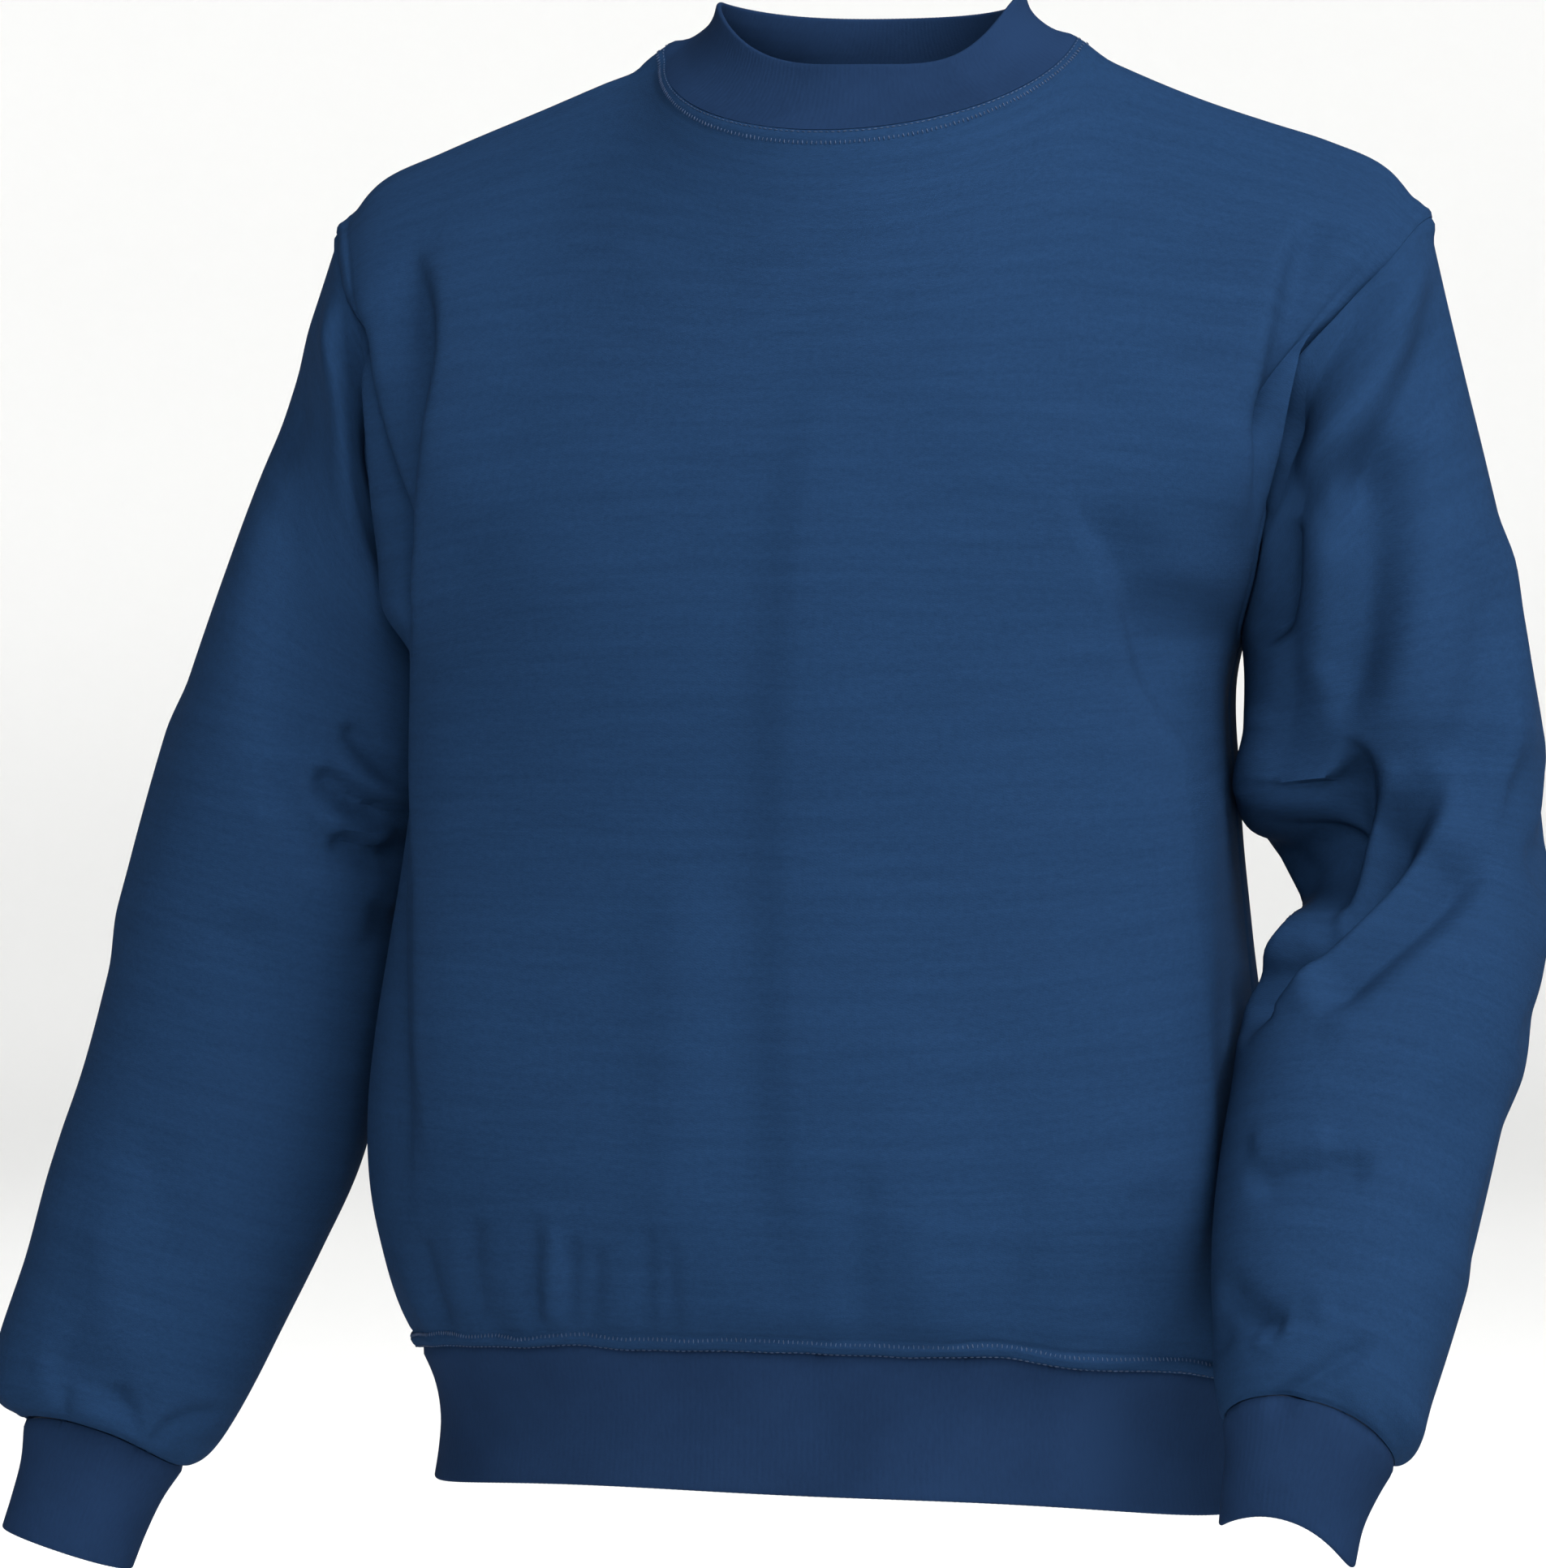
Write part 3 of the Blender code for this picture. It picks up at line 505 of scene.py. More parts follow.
class FleeceSettings(bpy.types.PropertyGroup):
    colour: FloatVectorProperty(
        name="Colour", description="Dyed colour of the brushed fleece", subtype="COLOR",
        size=3, min=0.0, max=1.0, default=linear("#162A44"))
    thickness: FloatProperty(
        name="Thickness", description="Thickness of the fleece", subtype="DISTANCE",
        unit="LENGTH", min=0.001, max=0.003, default=CLOTH_THICK * MM)
    fold_depth: FloatProperty(
        name="Fold depth", description="Depth of every fold, as a share of its own", min=0.0,
        max=2.0, subtype="FACTOR", default=1.0)
    wale: FloatProperty(
        name="Wale", description="Width of one column of knit stitches", subtype="DISTANCE",
        unit="LENGTH", min=0.0005, max=0.004, default=0.0014)


class RibSettings(bpy.types.PropertyGroup):
    colour: FloatVectorProperty(
        name="Colour", description="Dyed colour of the ribs", subtype="COLOR",
        size=3, min=0.0, max=1.0, default=linear("#14243C"))
    thickness: FloatProperty(
        name="Thickness", description="Thickness of the doubled rib", subtype="DISTANCE",
        unit="LENGTH", min=0.001, max=0.005, default=RIB_THICK * MM)
    relief: FloatProperty(
        name="Relief", description="Depth between two ribs", subtype="DISTANCE",
        unit="LENGTH", min=0.0, max=0.002, default=0.00012)


class StitchSettings(bpy.types.PropertyGroup):
    # The thread is a little lighter than the fleece: that extra lightness is painted sheen, beside
    # the real gloss that the thread's lower roughness gives.
    colour: FloatVectorProperty(
        name="Colour", description="Colour of the sewing thread", subtype="COLOR",
        size=3, min=0.0, max=1.0, default=linear("#1B304E"))
    length: FloatProperty(
        name="Length", description="Length of one stitch", subtype="DISTANCE",
        unit="LENGTH", min=0.0005, max=0.01, default=0.0021)
    pitch: FloatProperty(
        name="Pitch", description="From one stitch to the next", subtype="DISTANCE",
        unit="LENGTH", min=0.001, max=0.02, default=0.0028)
    thread: FloatProperty(
        name="Thread", description="Thickness of the thread", subtype="DISTANCE",
        unit="LENGTH", min=0.0001, max=0.002, default=0.00055)
    seed: IntProperty(name="Seed", description="Draw of the small unevenness", default=7)


class StudioSettings(bpy.types.PropertyGroup):
    floor_colour: FloatVectorProperty(
        name="Floor colour", description="Colour of the floor and its sweep", subtype="COLOR",
        size=3, min=0.0, max=1.0, default=linear("#F4F4F3"))
    floor_level: FloatProperty(
        name="Floor level", description="Height of the floor below the collar",
        subtype="DISTANCE", unit="LENGTH", default=-1.45)
    key_power: FloatProperty(
        name="Key light", description="Power of the large light high on the right", min=0.0,
        subtype="POWER", unit="POWER", default=185.0)
    front_power: FloatProperty(
        name="Front light", description="Power of the light beside the camera", min=0.0,
        subtype="POWER", unit="POWER", default=160.0)
    sweep_power: FloatProperty(
        name="Sweep lights", description="Power of each light that brightens the sweep",
        min=0.0, subtype="POWER", unit="POWER", default=135.0)
    back_power: FloatProperty(
        name="Back light", description="Power of the light behind", min=0.0,
        subtype="POWER", unit="POWER", default=32.0)


# ---------------------------------------------------------------- curves


def sided(points, side):
    """Points given as (out, y, z), placed on the wearer's right or left."""
    points = np.array(points, float)
    points[..., 0] *= -1.0 if side == "right" else 1.0
    return points


def through(keys, knots, at, start=None, end=None):
    """A smooth curve through the keys, read at the given places; tangents from a parabola."""
    keys = np.array(keys, float)
    knots = np.array(knots, float)
    step = np.diff(knots).reshape((-1,) + (1,) * (keys.ndim - 1))
    slope = np.diff(keys, axis=0) / step
    tangent = np.empty_like(keys)
    tangent[1:-1] = (slope[:-1] * step[1:] + slope[1:] * step[:-1]) / (step[1:] + step[:-1])
    tangent[0] = slope[0] if start is None else start
    tangent[-1] = slope[-1] if end is None else end
    rows = []
    for place in at:
        k = min(max(int(np.searchsorted(knots, place, side="right")) - 1, 0), len(knots) - 2)
        h = knots[k + 1] - knots[k]
        t = (place - knots[k]) / h
        rows.append((2 * t**3 - 3 * t**2 + 1) * keys[k] + (t**3 - 2 * t**2 + t) * h * tangent[k]
                    + (3 * t**2 - 2 * t**3) * keys[k + 1] + (t**3 - t**2) * h * tangent[k + 1])
    return np.array(rows)


def arc_knots(points):
    gaps = np.linalg.norm(np.diff(points, axis=0), axis=-1)
    return np.concatenate([[0.0], np.cumsum(gaps)])


def spaced(points, shares):
    """Points at the given shares of a curve's length."""
    points = np.array(points, float)
    knots = arc_knots(points)
    return np.stack([np.interp(np.asarray(shares) * knots[-1], knots, points[:, k])
                     for k in range(points.shape[1])], axis=1)


def unit(vectors):
    return vectors / np.linalg.norm(vectors, axis=-1, keepdims=True)


def rounded(points, count=2 * SAMPLES):
    """A smooth curve through a few points."""
    points = np.array(points, float)
    knots = arc_knots(points)
    return through(points, knots, np.linspace(0.0, knots[-1], count))


def bend(t, power):
    return np.sign(t) * np.abs(t) ** power


def places(steps, first=1, last=1):
    """Places of the cloth's points along so many steps, closer together in the end steps."""
    counts = [FINE] * steps
    counts[0] *= first
    counts[-1] *= last
    parts = [k + np.arange(count) / count for k, count in enumerate(counts)]
    return np.concatenate(parts + [[float(steps)]])


ARM = places(ARMHOLE_STEPS, last=2)
UP = np.concatenate([places(SIDE_STEPS, first=3)[:-1], SIDE_STEPS + ARM])
HALF = places(HALF_STEPS, last=2)
ACROSS = np.concatenate([-HALF[::-1], HALF[1:]])
ROUND = np.concatenate([ARM, 2 * ARMHOLE_STEPS - ARM[::-1][1:-1]])


# ---------------------------------------------------------------- sections of the garment


def neck_curve(face, columns):
    """Collar seam; the columns run from -NECK_STEPS at the wearer's right to NECK_STEPS."""
    depth = -NECK_FRONT_DEPTH if face == "front" else NECK_BACK_DEPTH
    drop = -NECK_FRONT_DROP if face == "front" else -NECK_BACK_DROP
    angle = np.radians(np.linspace(-90.0, 90.0, SAMPLES + 1))
    curve = np.stack([NECK_HALF * np.sin(angle), depth * np.cos(angle),
                      drop * np.cos(angle)], axis=1)
    return spaced(curve, (columns + NECK_STEPS) / (2.0 * NECK_STEPS))


def top_curve(face, columns):
    """Top edge of a panel: shoulder seam, collar seam, shoulder seam."""
    rows = []
    for side, out in (("right", -columns), ("left", columns)):
        points = sided([SHOULDER_TIP] + SHOULDER[side][::-1] + [(NECK_HALF, 0.0, 0.0)], side)
        beyond = out > NECK_STEPS
        rows.append((beyond, spaced(rounded(points), (HALF_STEPS - out[beyond]) / SHOULDER_STEPS)))
    top = np.empty((len(columns), 3))
    on_neck = ~(rows[0][0] | rows[1][0])
    top[on_neck] = neck_curve(face, columns[on_neck])
    for beyond, points in rows:
        top[beyond] = points
    return top


def armhole_curve(side, face, steps):
    """Half of the armhole, from the underarm up, cut out of its smooth loop."""
    other = "back" if face == "front" else "front"
    half = [SIDE_SEAM[side][-1]] + ARMHOLE[side, face] + [SHOULDER_TIP]
    points = sided([ARMHOLE[side, other][0]] + half + [ARMHOLE[side, other][-1]], side)
    knots = arc_knots(points)
    fine = through(points, knots, np.linspace(knots[1], knots[-2], 2 * SAMPLES))
    return spaced(fine, steps / ARMHOLE_STEPS)


def edge_curve(side, face, rows):
    """One edge of a body panel: its side seam, then its armhole."""
    below = rows < SIDE_STEPS
    seam = spaced(rounded(sided(SIDE_SEAM[side], side)), rows[below] / SIDE_STEPS)
    return np.concatenate([seam, armhole_curve(side, face, rows[~below] - SIDE_STEPS)])


def half_row(middle, edge, square, swell, side, columns):
    """From the middle of a panel round to its edge: a quarter of a superellipse."""
    angle = np.radians(np.linspace(0.0, 90.0, SAMPLES + 1))
    across = bend(np.sin(angle), 2.0 / square)
    deep = 1.0 - bend(np.cos(angle), 2.0 / square)
    out = -1.0 if side == "right" else 1.0
    curve = np.stack([middle[0] + (edge[0] - middle[0]) * across,
                      middle[1] + (edge[1] - middle[1]) * deep,
                      middle[2] + (edge[2] - middle[2]) * across**EDGE_RISE], axis=1)
    curve[:, 0] += out * swell * np.sin(math.pi * deep) * across
    return spaced(curve, columns / HALF_STEPS)


def panel_sections(face, rows, columns):
    """Points of the front or the back at the given rows and columns."""
    table = FRONT_ROWS if face == "front" else BACK_ROWS
    half = columns[columns >= 0.0]
    steps = np.array([row[0] for row in table], float)
    at_right = edge_curve("right", face, steps)
    at_left = edge_curve("left", face, steps)
    keys = []
    for k, (_, x, y, z, square, swell_right, swell_left) in enumerate(table):
        half_right = half_row((x, y, z), at_right[k], square, swell_right, "right", half)
        half_left = half_row((x, y, z), at_left[k], square, swell_left, "left", half)
        keys.append(np.concatenate([half_right[::-1], half_left[1:]]))
    top = top_curve(face, columns)
    keys.append(top)
    knots = np.concatenate([steps, [PANEL_STEPS]])
    # the cloth rolls over the shoulder, and runs on straight into the collar
    straight = (top - keys[-2]) / (PANEL_STEPS - steps[-1])
    column = np.abs(columns)
    on_shoulder = np.clip((column - NECK_STEPS) / SHOULDER_STEPS, 0.0, 1.0)
    beside_neck, at_tip = ROLL[face]
    over = np.zeros_like(top)
    over[:, 1] = 1.0 if face == "front" else -1.0
    over[:, 2] = beside_neck + (at_tip - beside_neck) * on_shoulder
    over *= (np.linalg.norm(straight, axis=1) / np.linalg.norm(over, axis=1))[:, None]
    share = np.clip(1.0 + (column - NECK_STEPS - 1) / ROLL_COLUMNS, 0.0, 1.0)[:, None]
    grid = through(keys, knots, rows, end=straight * (1 - share) + over * share)
    # the sewn edges are followed exactly
    share = (column / HALF_STEPS) ** EDGE_PULL
    off_right = (edge_curve("right", face, rows) - grid[:, 0])[:, None]
    off_left = (edge_curve("left", face, rows) - grid[:, -1])[:, None]
    grid += share[None, :, None] * np.where(columns[None, :, None] < 0, off_right, off_left)
    grid[-1] = top
    return grid


def eased(grid, rows, columns, rounds):
    """Even out the points below the two ends of the collar, where the edge turns a corner."""
    near_end = np.clip(1.0 - np.abs(np.abs(columns) - NECK_STEPS) / EASE_COLUMNS, 0.0, 1.0)
    near_top = np.clip((rows - PANEL_STEPS + EASE_ROWS) / (0.5 * EASE_ROWS), 0.0, 1.0)
    share = (near_top[:, None] * near_end[None, :])[1:-1, 1:-1, None]
    grid = grid.copy()
    for _ in range(rounds):
        around = (grid[:-2, 1:-1] + grid[2:, 1:-1] + grid[1:-1, :-2] + grid[1:-1, 2:]) / 4.0
        grid[1:-1, 1:-1] += share * (around - grid[1:-1, 1:-1])
    return grid


def panel(face):
    """A body panel: its fine points, moved as the solids' coarser ones are eased."""
    rows = np.arange(PANEL_STEPS + 1.0)
    columns = np.arange(-HALF_STEPS, HALF_STEPS + 1.0)
    coarse = panel_sections(face, rows, columns)
    shift = eased(coarse, rows, columns, EASE_ROUNDS) - coarse
    shift = through(shift, rows, UP)
    shift = through(shift.transpose(1, 0, 2), columns, ACROSS).transpose(1, 0, 2)
    grid = panel_sections(face, UP, ACROSS) + shift
    return eased(grid, UP, ACROSS, EASE_ROUNDS * FINE)


def ring(side, square, row, shares):
    """One ring of a sleeve or cuff, from the inner side round the front to the outer side."""
    _, out, y, z, lean, pitch, wide, deep, saddle = row
    axis = np.array([math.tan(math.radians(lean)), -math.tan(math.radians(pitch)), -1.0])
    axis /= np.linalg.norm(axis)
    across = np.array([math.cos(math.radians(lean)), 0.0, math.sin(math.radians(lean))])
    across -= axis * (across @ axis)
    across /= np.linalg.norm(across)
    ahead = np.cross(across, axis)
    ahead *= -np.sign(ahead[1])
    angle = np.radians(np.linspace(0.0, 360.0, 2 * SAMPLES + 1))
    inner = bend(np.cos(angle), 2.0 / square)
    front = bend(np.sin(angle), 2.0 / square)
    curve = (np.array([out, y, z], float) - across * wide * inner[:, None]
             + ahead * deep * front[:, None] + axis * saddle * np.cos(2 * angle)[:, None])
    return sided(spaced(curve, shares), side)


def sleeve(side):
    """A sleeve from its armhole down to its cuff, as a grid that closes on itself."""
    front = armhole_curve(side, "front", ARM)
    back = armhole_curve(side, "back", ARM)
    keys = [np.concatenate([front, back[::-1][1:-1]])]
    knots = [0, ARMHOLE_TO_FIRST_RING]
    for row in SLEEVE_RINGS[side]:
        keys.append(ring(side, SLEEVE_SQUARE, row, ROUND / (2 * ARMHOLE_STEPS)))
        knots.append(knots[-1] + row[0])
    return through(keys, knots[:-1], places(knots[-1], first=2, last=3))


def cuff(side, rows):
    """The outer face of a cuff, from its seam down to its folded edge."""
    shares = ROUND / (2 * ARMHOLE_STEPS)
    keys = [ring(side, SLEEVE_SQUARE, SLEEVE_RINGS[side][-1], shares)]
    keys += [ring(side, CUFF_SQUARE, row, shares) for row in CUFF_RINGS[side]]
    return through(keys, np.linspace(0.0, 1.0, len(keys)), np.linspace(0.0, 1.0, rows))


def waistband(seam, rows):
    """The outer face of the waistband: the seam carried down, drawn in towards the hem."""
    middle = seam.mean(axis=0)
    spread = seam[:, :2] - middle[:2]
    outward = unit(spread)
    sag = (seam[:, 2] - seam[:, 2].max()) / (seam[:, 2].max() - seam[:, 2].min())
    keys = [seam]
    for share, deeper, wider in BAND_RINGS:
        row = seam.copy()
        row[:, :2] += outward * (deeper + (wider - deeper) * outward[:, :1]**2)
        row[:, 2] += -BAND_HEIGHT * share - sag * BAND_SIDE_LIFT * share
        keys.append(row)
    knots = [0.0] + [share for share, _, _ in BAND_RINGS]
    return through(keys, knots, np.linspace(0.0, 1.0, rows))


def collar(seam, rows):
    """The outer face of the collar: from the neck seam up to a rim that dips at the front."""
    angle = np.arctan2(seam[:, 0] / NECK_HALF,
                       np.where(seam[:, 1] < 0, -seam[:, 1] / NECK_FRONT_DEPTH,
                                -seam[:, 1] / NECK_BACK_DEPTH))
    facing = np.cos(angle)
    rim_y = np.where(facing > 0, RIM_FRONT, RIM_BACK)
    end_rise = np.where(facing > 0, RIM_FRONT_RISE, RIM_BACK_RISE)
    aside = np.sin(angle)
    leaning = (aside - RIM_LEAN) / (1.0 - RIM_LEAN * aside)
    dip = np.abs(np.where(facing > 0, leaning, aside)) ** RIM_DIP
    rim = np.stack([RIM_HALF * np.sin(angle), -rim_y * facing,
                    end_rise + (RIM_SIDE_RISE - end_rise) * dip], axis=1)
    keys = [seam]
    for height, spread in COLLAR_RINGS:
        row = rim + (seam - rim) * spread
        row[:, 2] = seam[:, 2] + (rim[:, 2] - seam[:, 2]) * height
        keys.append(row)
    knots = [0.0] + [height for height, _ in COLLAR_RINGS]
    return through(keys, knots, np.linspace(0.0, 1.0, rows))


# ---------------------------------------------------------------- folding and sewing


def soft_noise(points, lump, seed):
    """Smooth noise from -1 to 1 whose lumps are so many millimetres across, on each axis."""
    table = np.random.default_rng(seed).uniform(-1.0, 1.0, NOISE_VALUES)
    spots = points / np.asarray(lump, float)
    cell = np.floor(spots).astype(np.int64)
    t = spots - cell
    t = t * t * (3.0 - 2.0 * t)
    total = np.zeros(points.shape[:-1])
    for corner in itertools.product((0, 1), repeat=3):
        x, y, z = np.moveaxis((cell + np.array(corner)) * np.array(NOISE_FACTORS), -1, 0)
        total += table[(x ^ y ^ z) % NOISE_VALUES] * np.prod(np.where(corner, t, 1.0 - t), axis=-1)
    return total


def grid_normals(grid, closed):
    """Outward unit normals of a grid of points whose columns may close on themselves."""
    if closed:
        along = np.roll(grid, -1, axis=1) - np.roll(grid, 1, axis=1)
    else:
        along = np.gradient(grid, axis=1)
    normals = unit(np.cross(along, np.gradient(grid, axis=0)))
    middle = grid.mean(axis=1, keepdims=True)
    if not closed:
        middle = middle * np.array([1.0, 0.0, 1.0])
    return -normals if ((grid - middle) * normals).sum() < 0.0 else normals


def edge_cells(grid, closed):
    rows, columns = grid.shape[:2]
    cells = [(row, column) for row in (0, rows - 1) for column in range(columns)]
    if not closed:
        cells += [(row, column) for column in (0, columns - 1) for row in range(1, rows - 1)]
    return cells


def share_edge_normals(forms):
    """Give sewn pieces one common direction at each point of their seam."""
    def spot(point):
        return tuple(int(round(value * SPOTS_A_MM)) for value in point)

    common = {}
    for form in forms.values():
        for cell in form["edge"]:
            key = spot(form["grid"][cell])
            common[key] = common.get(key, 0.0) + form["own"][cell]
    for form in forms.values():
        form["normals"] = form["own"].copy()
        for cell in form["edge"]:
            total = common[spot(form["grid"][cell])]
            form["normals"][cell] = total / np.linalg.norm(total)


class Seam:
    """A sewn line, and how far any point lies from it."""

    def __init__(self, line, closed=False):
        line = np.array(line)
        if closed:
            line = np.concatenate([line, line[:1]])
        count = max(int(arc_knots(line)[-1] / SEAM_SPACING), 2)
        dense = spaced(line, np.linspace(0.0, 1.0, count))
        self.tree = kdtree.KDTree(count)
        for k, point in enumerate(dense):
            self.tree.insert(point, k)
        self.tree.balance()

    def gap(self, points):
        flat = points.reshape(-1, 3)
        gaps = [self.tree.find(point)[2] for point in flat]
        return np.array(gaps).reshape(points.shape[:-1])


def seams_of(forms):
    """Every seam of the garment, by name, with the pieces that meet along it."""
    front = forms["front_panel"]["grid"]
    neck, waist = body_loops(front, forms["back_panel"]["grid"])
    below = int(np.searchsorted(UP, SIDE_STEPS)) + 1
    lines = {
        "neck": (neck, True, BODY + ("neck_rib",)),
        "waist": (waist, True, BODY + ("waistband_rib",)),
        "shoulder_right": (front[-1, ACROSS <= -NECK_STEPS], False, BODY),
        "shoulder_left": (front[-1, ACROSS >= NECK_STEPS], False, BODY),
        "side_right": (front[:below, 0], False, BODY),
        "side_left": (front[:below, -1], False, BODY),
    }
    for side in ("right", "left"):
        sleeve_name = "sleeve_" + side
        grid = forms[sleeve_name]["grid"]
        lines["armhole_" + side] = (grid[0], True, BODY + (sleeve_name,))
        lines["cuff_" + side] = (grid[-1], True, (sleeve_name, "cuff_" + side))
    return {name: (Seam(line, closed), pieces) for name, (line, closed, pieces) in lines.items()}


def body_loops(front, back):
    """The neck seam and the waist seam, each as one loop round the front and the back."""
    on_neck = np.abs(ACROSS) <= NECK_STEPS
    return [np.concatenate([ahead, behind[::-1][1:-1]]) for ahead, behind in
            ((front[-1, on_neck], back[-1, on_neck]), (front[0], back[0]))]


def seam_gaps(name, grid, seams):
    """How far a piece's points lie from each of its seams, by name, and from the nearest one."""
    gaps = {seam: line.gap(grid) for seam, (line, pieces) in seams.items() if name in pieces}
    return gaps, np.min(list(gaps.values()), axis=0)


def near_line(points, line):
    """Distance from a line, side of it, and how far along it, all in one plane."""
    best = np.full(points.shape[:-1], 1e9)
    side = np.zeros(points.shape[:-1])
    along = np.zeros(points.shape[:-1])
    knots = arc_knots(line)
    for k in range(len(line) - 1):
        run = line[k + 1] - line[k]
        off = points - line[k]
        t = np.clip((off @ run) / (run @ run), 0.0, 1.0)
        gap = np.linalg.norm(off - t[..., None] * run, axis=-1)
        closer = gap < best
        best = np.where(closer, gap, best)
        side = np.where(closer, run[0] * off[..., 1] - run[1] * off[..., 0], side)
        along = np.where(closer, (knots[k] + t * (knots[k + 1] - knots[k])) / knots[-1], along)
    return best, side, along


def fold_heights(name, grid, normals):
    """How far folds lift a piece off the plain cloth: those within it, and those over seams."""
    total = {False: np.zeros(grid.shape[:-1]), True: np.zeros(grid.shape[:-1])}
    for (pieces, face), folds in FOLDS.items():
        if name not in pieces.split("+"):
            continue
        axes, way = FACES[face]
        toward = np.clip(FOLD_FACING * (normals @ np.array(way, float)), 0.0, 1.0)
        for height, right_half, left_half, points in folds:
            line = rounded(points, FOLD_POINTS * len(points))
            gap, side, along = near_line(grid[..., list(axes)], line)
            swell = smooth_rise(np.minimum(along, 1.0 - along) / FOLD_FADE)
            half = np.where(side < 0.0, right_half, left_half)
            half = half * (FOLD_SLIM + (1 - FOLD_SLIM) * swell)
            total["+" in pieces] += height * swell * np.exp(-((gap / half) ** 2)) * toward
    return total[False], total[True]


def knot_heights(grid):
    total = np.zeros(grid.shape[:-1])
    for x, y, z, height, reach in KNOTS:
        gap = np.linalg.norm(grid - np.array([x, y, z], float), axis=-1)
        total += height * np.exp(-((gap / reach) ** KNOT_FLATNESS))
    return total


def smooth_rise(t):
    t = np.clip(t, 0.0, 1.0)
    return t * t * (3.0 - 2.0 * t)


def plain_grids():
    """Points of all eight pieces before they are folded, and whether they close on themselves."""
    front, back = panel("front"), panel("back")
    neck, waist = body_loops(front, back)
    rows = {name: outer_rows for name, (_, outer_rows, _, _) in RIBBING.items()}
    return {
        "front_panel": (front, False),
        "back_panel": (back, False),
        "sleeve_right": (sleeve("right"), True),
        "sleeve_left": (sleeve("left"), True),
        "cuff_right": (cuff("right", rows["cuff_right"]), True),
        "cuff_left": (cuff("left", rows["cuff_left"]), True),
        "neck_rib": (collar(neck, rows["neck_rib"]), True),
        "waistband_rib": (waistband(waist, rows["waistband_rib"]), True),
    }


def lifted(name, form, seams):
    """A piece's distances from its seams, and how far its folds, gathers and slack lift it."""
    grid, normals = form["grid"], form["normals"]
    gaps, nearest = seam_gaps(name, grid, seams)
    within, over = fold_heights(name, grid, normals)
    rise = within * smooth_rise(nearest / SEAM_HOLD) + over
    for piece, seam, height, wide, reach in GATHERS:
        if piece == name:
            lump = (wide, wide, wide * PUCKER_LENGTH)
            climb = smooth_rise(gaps[seam] / PUCKER_RISE + PUCKER_START)
            fade = np.exp(-gaps[seam] / reach) * climb
            rise += height * soft_noise(grid, lump, GATHER_SEED) * fade
    if name in FLEECE:
        for k, (height, lump) in enumerate(SLACK):
            rise += (height * soft_noise(grid, lump, SLACK_SEED + k)
                     * smooth_rise(nearest / SLACK_HOLD))
    return gaps, rise


@functools.lru_cache(maxsize=None)
def garment(fold_depth):
    """The folded forms of all eight pieces, with shared directions along their seams."""
    forms = {}
    for name, (grid, closed) in plain_grids().items():
        forms[name] = {"grid": grid, "closed": closed, "edge": edge_cells(grid, closed),
                       "own": grid_normals(grid, closed)}
    share_edge_normals(forms)
    seams = seams_of(forms)
    moved = {}
    for name, form in forms.items():
        gaps, rise = lifted(name, form, seams)
        rise = fold_depth * rise + knot_heights(form["grid"])
        moved[name] = form["grid"] + form["normals"] * rise[..., None]
        if "waist" in gaps:
            lift, wave, reach = SEAM_WAVE
            sway = soft_noise(form["grid"] * np.array([1.0, 1.0, 0.0]), wave, WAVE_SEED)
            moved[name][..., 2] += lift * sway * np.exp(-((gaps["waist"] / reach) ** 2))
    for name, form in forms.items():
        form["grid"] = moved[name]
        form["own"] = grid_normals(moved[name], form["closed"])
    share_edge_normals(forms)
    seams = seams_of(forms)
    for name in FLEECE:
        form = forms[name]
        gaps, nearest = seam_gaps(name, form["grid"], seams)
        form["dip"] = GROOVE_DEPTH * np.exp(-((nearest / GROOVE_WIDTH) ** 2))
        form["outer"] = sewn(name, form, gaps)
    return forms


def sewn(name, form, gaps):
    """The outer face of a fleece piece with its grooves and raised bands."""
    grid, normals = form["grid"], form["normals"]
    heights = {seam: (height, wide) for seam, height, wide in BANDS}
    rise = -form["dip"]
    for seam, gap in gaps.items():
        if seam in heights and name in BODY:
            height, wide = heights[seam]
            uneven = 1.0 + BAND_UNEVEN * soft_noise(grid, BAND_LUMP, BAND_SEED)
            edge = smooth_rise((gap + BAND_EDGE[0]) / BAND_EDGE[1])
            fall = 1.0 - smooth_rise((gap - BAND_FALL[0] * wide) / (BAND_FALL[1] * wide))
            rise += height * uneven * edge * fall
            depth, place, reach = BAND_DENT
            rise -= depth * np.exp(-(((gap - place * wide) / reach) ** 2))
    return grid + normals * rise[..., None]


def drawn_back(grid, closed):
    """Draw every edge back a little within the cloth, clear of the piece it is sewn to."""
    moved = grid.copy()

    def step(edge, inner):
        inward = inner - edge
        return SEAM_PLAY * inward / np.linalg.norm(inward, axis=-1, keepdims=True)

    moved[0] += step(grid[0], grid[1])
    moved[-1] += step(grid[-1], grid[-2])
    if not closed:
        moved[:, 0] += step(grid[:, 0], grid[:, 1])
        moved[:, -1] += step(grid[:, -1], grid[:, -2])
    return moved


# ---------------------------------------------------------------- meshes


def linked(name, data):
    """A new object in the scene."""
    item = bpy.data.objects.new(name, data)
    bpy.context.scene.collection.objects.link(item)
    return item


def mesh_object(name, points, faces, corners):
    """A closed smooth mesh in metres, faces out, with one map of the cloth, in metres too."""
    if signed_volume(points, faces) < 0.0:
        faces, corners = faces[:, ::-1], corners[:, ::-1]
    mesh = bpy.data.meshes.new(name)
    mesh.from_pydata((points * MM).tolist(), [], faces.tolist())
    layer = mesh.uv_layers.new(name="cloth")
    layer.data.foreach_set("uv", (corners.reshape(-1, 2) * MM).astype(np.float32).ravel())
    mesh.shade_smooth()
    mesh.set_sharp_from_angle(angle=math.radians(SHARP_ANGLE))
    return linked(name, mesh)


